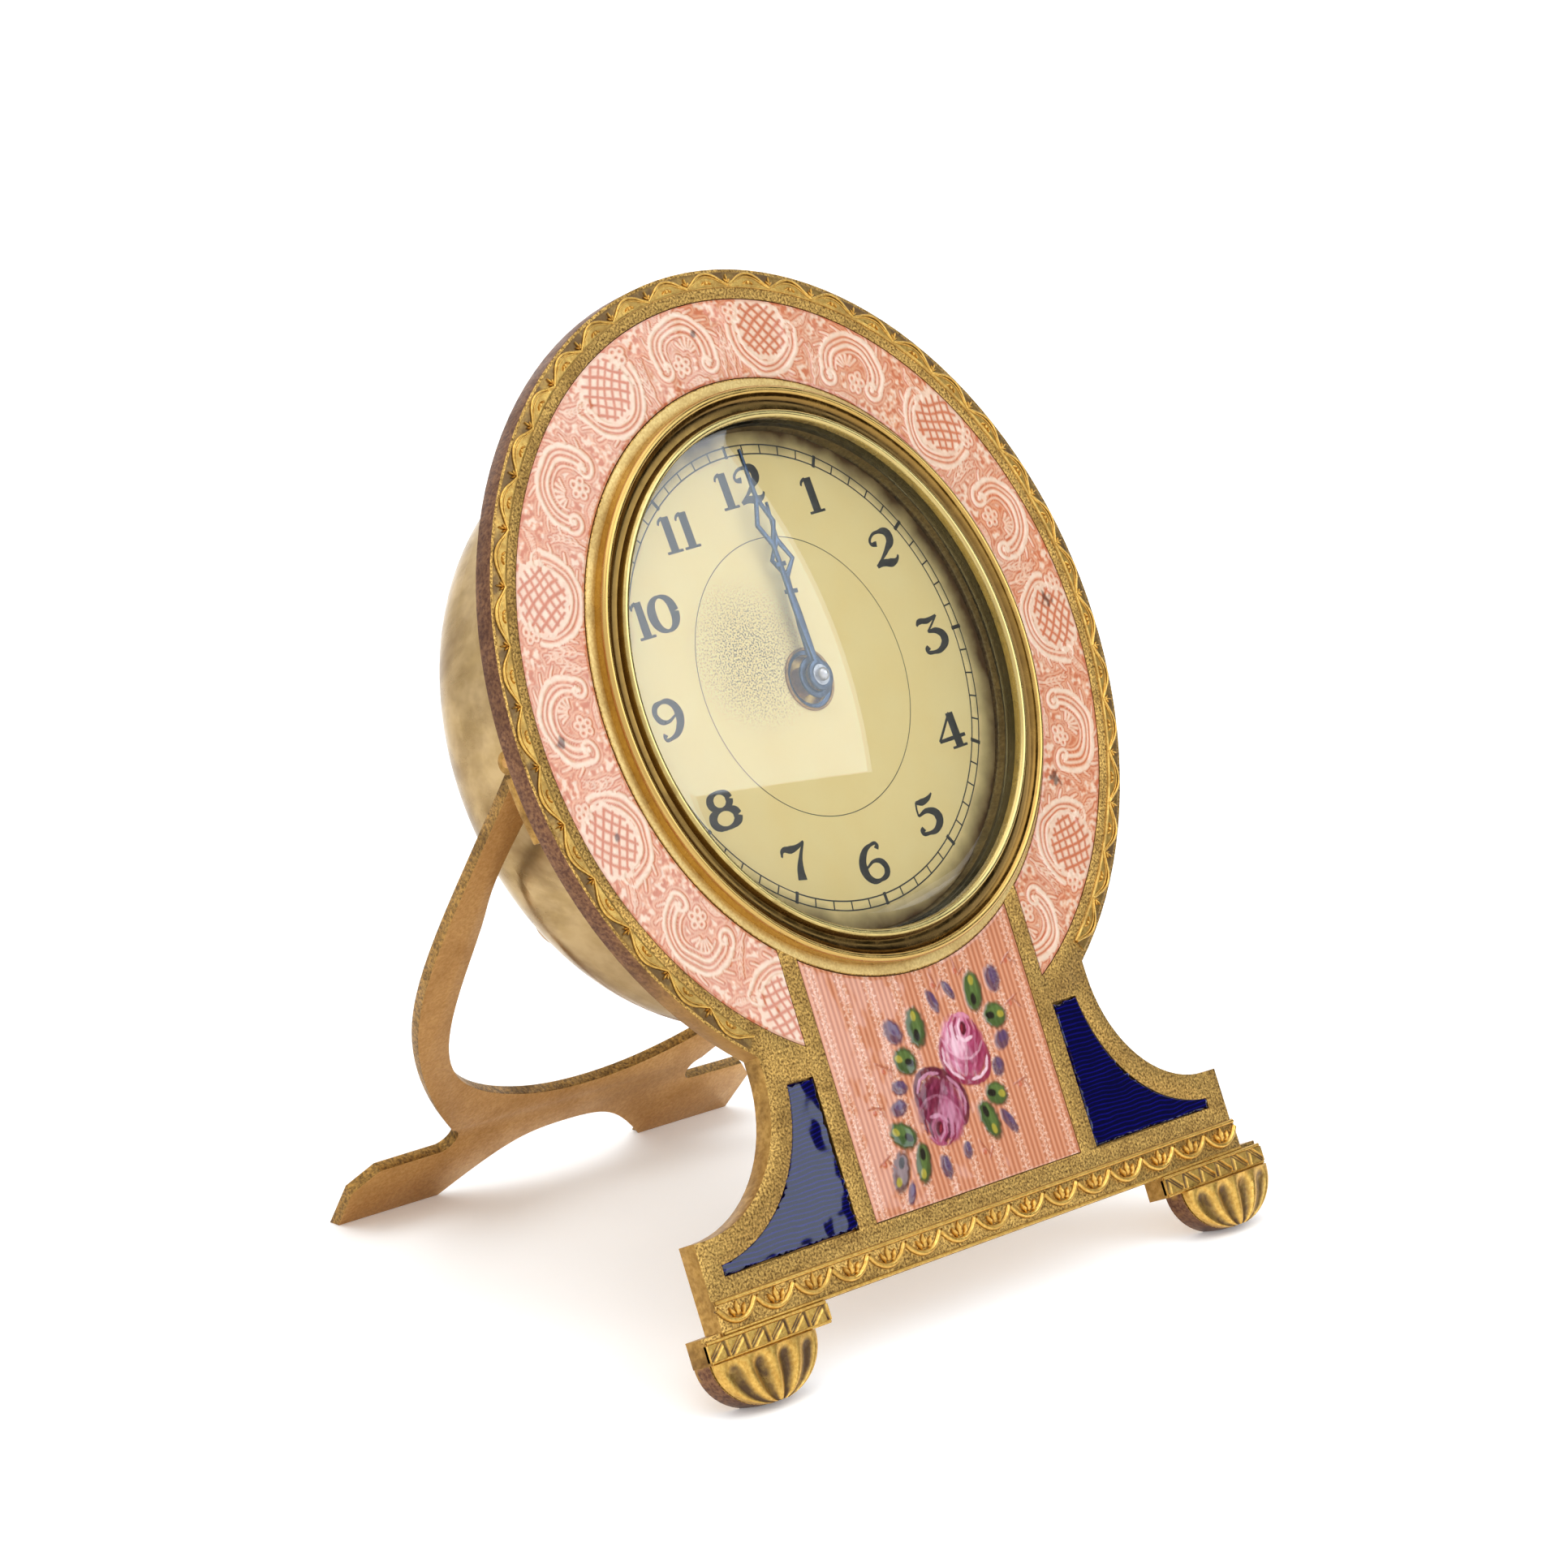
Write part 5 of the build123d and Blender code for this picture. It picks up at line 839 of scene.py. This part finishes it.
for side in ("left", "right"):
    bm = bmesh.new()
    bm.from_mesh(frame["nodes"][f"enamel_cobalt_{side}"].data)
    bm.transform(plate.inverted())
    bmesh.ops.remove_doubles(bm, verts=bm.verts, dist=0.002)
    bmesh.ops.dissolve_limit(bm, angle_limit=radians(0.5), verts=bm.verts, edges=bm.edges)
    long = [e for e in bm.edges if abs(e.verts[0].co.z - e.verts[1].co.z) < 0.1 and e.calc_length() > 0.5]
    for edge in long:
        bmesh.ops.subdivide_edges(bm, edges=[edge], cuts=int(edge.calc_length() / 0.3))
    middle = sum((v.co for v in bm.verts), Vector()) / len(bm.verts)
    for vert in bm.verts:
        ragged = 0.06
        for often, seed in ((0.9, 3.0), (1.9, 5.0)):
            ragged += 0.3 * abs(noise.noise((vert.co.x * often, vert.co.y * often, seed)))
        vert.co.xy += (middle.xy - vert.co.xy).normalized() * ragged
    face = max(bm.faces, key=lambda f: f.calc_center_median().z)
    bmesh.ops.bevel(bm, geom=list(face.edges), offset=0.4, offset_type="OFFSET", affect="EDGES", segments=4,
                    profile=0.5, material=-1, clamp_overlap=True)
    face = max(bm.faces, key=lambda f: f.calc_area() if f.normal.z > 0.9 else 0.0)
    for edge in face.edges:
        edge.smooth = False
    shaped(f"cobalt_glaze_{side}", bm, [cobalt], "case", [f"enamel_cobalt_{side}"], smooth=0)


# Bezel: a turned brass ring of two beads with a cove between, coloured darker brown than the beads


def arc(cu, cv, radius, start, end, steps=10):
    """Points of a round stretch of a profile."""
    return [(cu + radius * cos(radians(start + (end - start) * k / steps)),
             cv + radius * sin(radians(start + (end - start) * k / steps))) for k in range(steps + 1)]


bezel_brass, tree, shader, place = finish("turned_bezel_brass")
flat = add(tree, "Mapping", {"Vector": place, "Scale": (1, 1, 0)})
radius = add(tree, "VectorMath", {0: flat.outputs["Vector"]}, operation="LENGTH")
mottle = add(tree, "TexNoise", {"Vector": place, "Scale": 1 / 1.6, "Detail": 5.0, "Roughness": 0.65})
shift = add(tree, "Math", {0: mottle, 1: 0.5, 2: radius}, operation="MULTIPLY_ADD")
share = add(tree, "MapRange", {"Value": shift, "From Min": 23.6, "From Max": 26.9})
bands = add(tree, "ValToRGB", {"Fac": share})
ramp = bands.color_ramp
ramp.elements[0].position, ramp.elements[0].color = 0.0, tone("b7a068")
ramp.elements[1].position, ramp.elements[1].color = 1.0, tone("bf9d5c")
# Colour bands across the radius: pale beads, darker brown in the cove
for stop, code in ((0.2, "cdb776"), (0.32, "7d6132"), (0.55, "5f4726"), (0.68, "8b6c38"), (0.78, "c4a05a")):
    new = ramp.elements.new(stop)
    new.color = tone(code)
feed(tree, shader, {"Base Color": bands.outputs["Color"], "Metallic": 1.0})
dull = add(tree, "MapRange", {"Value": mottle, "From Min": 0.35, "From Max": 0.7, "To Min": 0.14,
                              "To Max": 0.34})
feed(tree, shader, {"Roughness": dull})
profile = [(26.5, 0.0), (26.5, 0.55)] + arc(26.1, 0.9, 0.4, 0, 180)
profile += [(25.5, 0.66), (25.2, 0.5), (24.8, 0.46), (24.45, 0.56)]
profile += arc(23.9, 0.9, 0.4, 0, 180) + [(23.5, 0.35), (24.1, 0.35), (24.1, -3.6), (25.7, -3.6), (25.7, 0.0)]
shaped("bezel_turned", turned(profile), [bezel_brass], "case", ["bezel"])

# Crystal: a domed glass
glass, tree, shader, place = finish("crystal_glass")
feed(tree, shader, {"Base Color": tone("ffffff"), "Roughness": 0.0, "IOR": 1.47, "Transmission Weight": 1.0})


def domed(radius, foot):
    """Profile of a dome from its middle to its edge."""
    curve = (radius ** 2 + GLASS_RISE ** 2) / (2 * GLASS_RISE)
    steps = [radius * k / 16 for k in range(17)]
    return [(r, foot + GLASS_RISE - curve + sqrt(curve ** 2 - r ** 2)) for r in steps]


profile = domed(GLASS_RADIUS, GLASS_EDGE) + [(GLASS_SEAT, GLASS_EDGE), (GLASS_SEAT, GLASS_FOOT)]
profile += domed(BOWL_RADIUS, GLASS_FOOT)[::-1]
shaped("crystal_dome", turned(profile, 128), [glass], "case", ["crystal"], smooth=50)

# Rehaut and dial
# Painted shade: the rehaut's brass darkened to olive-brown for the shadow under the bezel
rehaut_brass = aged_metal("shadowed_rehaut_brass", "8d774c", "705d39", "3a2e1c", 0.3, 3.0, 0.42, 0.15, 0.6)
# Painted shade: the seat brass black-brown where the glass meets it
glass_shade = aged_metal("seat_painted_shadow_brass", "2a2218", "1c160f", "120d08", 0.3, 3.0, 0.5, 0.1, 0.5)
profile = [(23.3, -0.69), (GLASS_SEAT, -0.69), (GLASS_SEAT, -2.38), (23.0, -2.38), (23.04, -2.2),
           (23.2, -1.75), (23.2, -1.5), (23.3, -1.2)]
bm = turned(profile)
# The upper step, under the glass's edge, takes the painted shade
for face in bm.faces:
    face.material_index = int(face.calc_center_median().z > -1.4)
shaped("rehaut_ring", bm, [rehaut_brass, glass_shade], "case", ["dial_ring"])

# Gilt paper-matte dial: cream gold, darker brown towards the rim, foxed left of the middle
dial_face, tree, shader, place = finish("matt_gilt_dial")
flat = add(tree, "Mapping", {"Vector": place, "Scale": (1, 1, 0)})
radius = add(tree, "VectorMath", {0: flat.outputs["Vector"]}, operation="LENGTH")
cloud = add(tree, "TexNoise", {"Vector": place, "Scale": 1 / 4.0, "Detail": 5.0})
far = add(tree, "Math", {0: cloud, 1: 3.0, 2: radius}, operation="MULTIPLY_ADD")
# Darker brown towards the rim, next to the rehaut
rim_darkening = add(tree, "MapRange", {"Value": far, "From Min": 22.2, "From Max": 24.6})
field = add(tree, "Mix", {"Factor": cloud, 6: tone("fbe096"), 7: tone("ffecab")}, data_type="RGBA")
field = add(tree, "Mix", {"Factor": rim_darkening, 6: field, 7: tone("674c28")}, data_type="RGBA")
spot = add(tree, "VectorMath", {0: flat.outputs["Vector"], 1: (-6.3, 3.0, 0)}, operation="DISTANCE")
near = add(tree, "MapRange", {"Value": spot, "From Min": 8.0, "From Max": 2.0})
fox = add(tree, "TexNoise", {"Vector": place, "Scale": 1 / 0.17, "Detail": 3.0})
fox = add(tree, "MapRange", {"Value": fox, "From Min": 0.47, "From Max": 0.62})
fox = add(tree, "Math", {0: fox, 1: near}, operation="MULTIPLY")
fox = add(tree, "Math", {0: fox, 1: 0.9}, operation="MULTIPLY")
field = add(tree, "Mix", {"Factor": fox, 6: field, 7: tone("54401f")}, data_type="RGBA")
grain = add(tree, "TexNoise", {"Vector": place, "Scale": 1 / 0.18, "Detail": 2.0})
tooth = add(tree, "Bump", {"Height": grain, "Strength": 0.15, "Distance": 0.05 * MM})
feed(tree, shader, {"Base Color": field, "Normal": tooth, "Roughness": 0.5, "Specular IOR Level": 0.3})
profile = [(DIAL_HOLE, DIAL_LEVEL), (DIAL_RADIUS, DIAL_LEVEL), (DIAL_RADIUS, DIAL_BACK),
           (DIAL_HOLE, DIAL_BACK)]
shaped("dial_plate", turned(profile), [dial_face], "case", ["dial"])

# Eyelet round the hands' arbor: a gilt bead about a dark disc
profile = [(DIAL_HOLE, -2.38), (2.62, -2.34)] + arc(2.76, -2.28, 0.14, 180, -40, 8)
bm = turned(profile + [(2.88, -2.42), (DIAL_HOLE, -2.42)], 64)
for face in bm.faces:
    face.material_index = 0 if face.calc_center_median().xy.length > 2.62 else 1
shaped("eyelet_bead", bm, [gilt_edge, blued_steel], "case", ["dial_eyelet"])

# Dial print: black-green ink, slightly raised
ink, tree, shader, place = finish("dial_ink")
wear = add(tree, "TexNoise", {"Vector": place, "Scale": 1 / 0.4, "Detail": 3.0})
shade = add(tree, "Mix", {"Factor": wear, 6: tone("2c2b28"), 7: tone("45433c")}, data_type="RGBA")
feed(tree, shader, {"Base Color": shade, "Roughness": 0.5})
DIAL_TURN = 4.2
tilt_cos, tilt_sin = cos(radians(DIAL_TURN)), sin(radians(DIAL_TURN))


def oval(cx, cy, rx, ry, start, end, widths, steps=16):
    """A stroke round an oval whose width swells and thins."""
    points = []
    for k in range(steps + 1):
        turn = radians(start + (end - start) * k / steps)
        points.append((cx + rx * cos(turn), cy + ry * sin(turn), widths(turn)))
    return points


DIGITS = {
    "0": [oval(0.3, 0.5, 0.22, 0.46, 0, 360, lambda t: 0.025 + 0.075 * abs(cos(t)) ** 1.5)],
    "1": [[(0.3, 0.98, 0.09), (0.3, 0.5, 0.09), (0.3, 0.03, 0.09)],
          [(0.26, 0.97, 0.03), (0.17, 0.9, 0.025), (0.14, 0.8, 0.02)],
          [(0.14, 0.02, 0.022), (0.46, 0.02, 0.022)]],
    "2": [[(0.2, 0.66, 0.05), (0.08, 0.72, 0.03), (0.14, 0.9, 0.025), (0.3, 0.97, 0.03), (0.48, 0.88, 0.085),
           (0.5, 0.68, 0.09), (0.38, 0.46, 0.05), (0.2, 0.22, 0.025), (0.06, 0.05, 0.03)],
          [(0.06, 0.05, 0.03), (0.2, 0.11, 0.06), (0.38, 0.06, 0.075), (0.52, 0.12, 0.03),
           (0.56, 0.22, 0.02)]],
    "3": [[(0.03, 0.84, 0.02), (0.1, 0.93, 0.05), (0.28, 0.9, 0.05), (0.5, 0.98, 0.02)],
          [(0.5, 0.98, 0.02), (0.36, 0.78, 0.02), (0.22, 0.6, 0.02)],
          [(0.22, 0.6, 0.02), (0.42, 0.55, 0.06), (0.52, 0.32, 0.095), (0.4, 0.07, 0.055), (0.2, 0.02, 0.03),
           (0.07, 0.12, 0.04), (0.13, 0.2, 0.05)]],
    "4": [[(0.42, 0.98, 0.025), (0.22, 0.62, 0.025), (0.03, 0.29, 0.025)],
          [(0.03, 0.29, 0.03), (0.3, 0.29, 0.035), (0.6, 0.29, 0.03)],
          [(0.42, 0.98, 0.09), (0.42, 0.5, 0.09), (0.42, 0.03, 0.09)],
          [(0.26, 0.02, 0.022), (0.58, 0.02, 0.022)]],
    "5": [[(0.14, 0.9, 0.03), (0.26, 0.87, 0.06), (0.42, 0.92, 0.04), (0.52, 1.02, 0.015)],
          [(0.14, 0.92, 0.02), (0.11, 0.74, 0.02), (0.1, 0.54, 0.02)],
          [(0.1, 0.54, 0.02), (0.34, 0.6, 0.05), (0.5, 0.36, 0.095), (0.4, 0.08, 0.06), (0.2, 0.02, 0.03),
           (0.06, 0.11, 0.04), (0.12, 0.19, 0.05)]],
    "6": [[(0.46, 0.84, 0.05), (0.5, 0.94, 0.03), (0.36, 0.98, 0.03), (0.16, 0.78, 0.07), (0.08, 0.42, 0.095),
           (0.16, 0.1, 0.06), (0.34, 0.02, 0.03), (0.52, 0.18, 0.065), (0.5, 0.42, 0.06), (0.34, 0.55, 0.03),
           (0.16, 0.44, 0.02)]],
    "7": [[(0.03, 0.76, 0.02), (0.08, 0.92, 0.04), (0.24, 0.88, 0.065), (0.4, 0.9, 0.04), (0.54, 0.98, 0.02)],
          [(0.53, 0.97, 0.02), (0.38, 0.6, 0.04), (0.3, 0.3, 0.075), (0.27, 0.03, 0.1)]],
    "8": [oval(0.3, 0.745, 0.19, 0.225, 0, 360, lambda t: 0.03 + 0.055 * abs(cos(t)) ** 2),
          oval(0.3, 0.27, 0.25, 0.25, 0, 360, lambda t: 0.03 + 0.07 * abs(cos(t)) ** 2)],
}
DIGITS["9"] = [[(0.6 - x, 1 - y, half) for x, y, half in stroke] for stroke in DIGITS["6"]]
NUMERAL_TALL, NUMERAL_WIDE, NUMERAL_BOLD = 3.35, 6.2, 5.5
PRINT_SHIFT = (-0.35, 0.4)
strokes = []
for hour in range(1, 13):
    figure = str(hour)
    cu, cv = around(HOUR_RADIUS, 90 - 30 * hour + DIAL_TURN)
    gap = {10: 2.7, 11: 2.25, 12: 2.9}.get(hour, 0.0)
    for k, letter in enumerate(figure):
        shift = (k - (len(figure) - 1) / 2) * gap
        for stroke in DIGITS[letter]:
            line = []
            for x, y, half in stroke:
                a, b = (x - 0.3) * NUMERAL_WIDE + shift, (y - 0.5) * NUMERAL_TALL
                line.append((cu + a * tilt_cos - b * tilt_sin, cv + a * tilt_sin + b * tilt_cos, 0.0,
                             half * NUMERAL_BOLD))
            strokes.append(line)
figures = wires("figures", strokes, sides=2)
for vert in figures.verts:
    vert.co.z *= 0.05
tracks = [[(*around(r, 6 * k), 0.0, half) for k in range(60)]
          for r, half in ((TRACK_IN, 0.065), (TRACK_OUT, 0.065), (CENTRE_RING, 0.035))]
rings = wires("tracks", tracks, sides=1, closed=True)
minutes = []
for k in range(60):
    turn = 90 - 6 * k + DIAL_TURN
    half, past = (0.075, 0.0) if k % 5 else (0.18, 0.15)
    minutes.append([(*around(r, turn), 0.0, half) for r in (TRACK_IN - past, TRACK_OUT + past)])
ticks = wires("ticks", minutes, sides=1, kind="POLY")
for part in (rings, ticks):
    for vert in part.verts:
        vert.co.z *= 0.15
print_marks = joined([figures, rings, ticks])
bmesh.ops.translate(print_marks, verts=print_marks.verts, vec=(*PRINT_SHIFT, DIAL_LEVEL + 0.012))
shaped("dial_print", print_marks, [ink], "case", smooth=60)

# Hands, strut, hinges, key and knob: the solids with rubbed edges


def rubbed(piece, node, width, look, body):
    """A solid's own shape with its edges rubbed round."""
    shaped(piece, softened(node, width), [look], body, [node], place=AS_MODELLED)


rubbed("minute_hand_blued", "minute_hand", 0.05, blued_steel, "minute")
rubbed("hour_hand_blued", "hour_hand", 0.05, blued_steel, "hour")
bm = softened("strut", 0.13)
strut_out = Vector((0, -cos(radians(STRUT_SLOPE)), -sin(radians(STRUT_SLOPE))))
for face in bm.faces:
    face.material_index = 0 if abs(face.normal.dot(strut_out)) > 0.9 else 1
shaped("strut_satin", bm, [strut_gilt, strut_edge], "strut", ["strut"], place=AS_MODELLED)
for side in ("left", "right"):
    rubbed(f"hinge_{side}", f"hinge_leaf_{side}", 0.08, gilt_edge, "case")
rubbed("winding_key_rubbed", "winding_key", 0.2, knob_brass, "winding")
rubbed("setting_knob_rubbed", "setting_knob", 0.15, knob_brass, "setting")

# Nodes whose solid is right keep it and take the finish of their slot
plain = {"drum_brass": drum_brass, "movement_brass": movement_brass, "steel": bright_steel,
         "gilt_brass": gilt_edge, "strut_brass": strut_gilt, "blued_steel": blued_steel,
         "knob_brass": knob_brass}
for part in frame["record"]["subparts"]:
    if part["material_slot"] in plain:
        data = frame["nodes"][part["node"]].data
        data.materials.clear()
        data.materials.append(plain[part["material_slot"]])

# Rounded steel end of the centre arbor
tip = max((plate.inverted() @ vert.co).z for vert in frame["nodes"]["minute_hand"].data.vertices)
profile = [(0.0, tip - 0.1), (0.62, tip - 0.1)] + arc(0.0, tip + 0.1, 0.62, 0, 90, 8)
shaped("centre_pin_end", turned(profile, 40), [bright_steel], "minute")

# Stage: a pale sweep, soft light, and the camera at the photograph's place
paper, tree, shader, place = finish("pale_paper")
fibre = add(tree, "TexNoise", {"Vector": place, "Scale": 1 / 6.0, "Detail": 2.0})
white = add(tree, "Mix", {"Factor": fibre, 6: tone("f7f6f5"), 7: tone("fbfaf9")}, data_type="RGBA")
feed(tree, shader, {"Base Color": white, "Roughness": 0.7, "Emission Color": tone("ffffff"),
                    "Emission Strength": 0.14})
bm = bmesh.new()
sweep = [(-1.2, 0.0), (0.5, 0.0), (0.62, 0.015), (0.72, 0.06), (0.78, 0.13), (0.8, 0.22), (0.8, 1.3)]
points = [bm.verts.new((-0.9, y, z)) for y, z in sweep]
rows = [bm.edges.new(pair) for pair in zip(points, points[1:])]
made = bmesh.ops.extrude_edge_only(bm, edges=rows)["geom"]
bmesh.ops.translate(bm, verts=[g for g in made if isinstance(g, bmesh.types.BMVert)], vec=(1.8, 0, 0))
bmesh.ops.rotate(bm, verts=bm.verts, cent=(0, 0, 0), matrix=Matrix.Rotation(radians(-47.5), 3, "Z"))
bmesh.ops.recalc_face_normals(bm, faces=bm.faces)
mesh = bpy.data.meshes.new("paper_sweep")
bm.to_mesh(mesh)
bm.free()
mesh.materials.append(paper)
mesh.polygons.foreach_set("use_smooth", [True] * len(mesh.polygons))
floor = bpy.data.objects.new("paper_sweep", mesh)
bpy.context.scene.collection.objects.link(floor)

# A white room with a dark corner to the clock's right, beyond the window box
world = bpy.data.worlds.new("studio")
world.use_nodes = True
tree = world.node_tree
corner = plate_turn @ Vector((sin(radians(70)), 0.08, cos(radians(70)))).normalized()
view = add(tree, "TexCoord").outputs["Generated"]
away = add(tree, "VectorMath", {0: view, 1: corner}, operation="DOT_PRODUCT")
room = add(tree, "MapRange", {"Value": away, "From Min": cos(radians(62)), "From Max": cos(radians(40)),
                              "To Min": 1.15, "To Max": 0.05})
feed(tree, tree.nodes["Background"], {"Strength": room, "Color": tone("ffffff")})
bpy.context.scene.world = world

# Window box: its corner and edges as the domed glass and the flat enamel mirror them in the photograph
box_corner = Vector((467, -76, 465))
box_right = Vector((0.851, 0.0, -0.52)).normalized()
box_up = Vector((0, 0.97, -0.24))
box_up = (box_up - box_right * box_up.dot(box_right)).normalized()
box_size = Vector((430, 500))
window = Matrix((box_right, box_up, box_right.cross(box_up))).transposed().to_4x4()
window.translation = box_corner - box_right * box_size.x / 2 + box_up * box_size.y / 2
top_place = Matrix.Translation((-0.15, 0.1, 1.0)) @ Matrix.Scale(MM, 4)
lamps = (("window_box", plate @ window, box_size, 1.75, (0.8, 0.9, 1.0)),
         ("top_box", top_place, Vector((1000, 1000)), 3.0, (1.0, 1.0, 1.0)))
for name, place, size, power, colour in lamps:
    lamp = bpy.data.lights.new(name, "AREA")
    lamp.shape = "RECTANGLE"
    lamp.size, lamp.size_y = size * MM
    lamp.energy = power
    lamp.color = colour
    holder = bpy.data.objects.new(name, lamp)
    holder.matrix_world = place.normalized()
    bpy.context.scene.collection.objects.link(holder)

# Camera fitted to the photograph, placed and turned in the plate's frame
PHOTO_PIXELS, FOCAL_PIXELS = 1932, 5363.4
CAMERA_PLACE = Vector((-278.86, -33.0, 265.40))
CAMERA_TURN = Vector((0.177564, -0.778095, -0.255289))
lens = bpy.data.cameras.new("photo_view")
lens.sensor_width = 36.0
lens.lens = lens.sensor_width * FOCAL_PIXELS / PHOTO_PIXELS
lens.clip_start = 0.01
viewer = bpy.data.objects.new("photo_view", lens)
look = plate_turn @ Matrix.Rotation(CAMERA_TURN.length, 3, CAMERA_TURN.normalized())
viewer.matrix_world = Matrix.Translation(plate @ CAMERA_PLACE) @ look.to_4x4()
bpy.context.scene.collection.objects.link(viewer)
bpy.context.scene.camera = viewer
bpy.context.scene.view_settings.view_transform = "Standard"
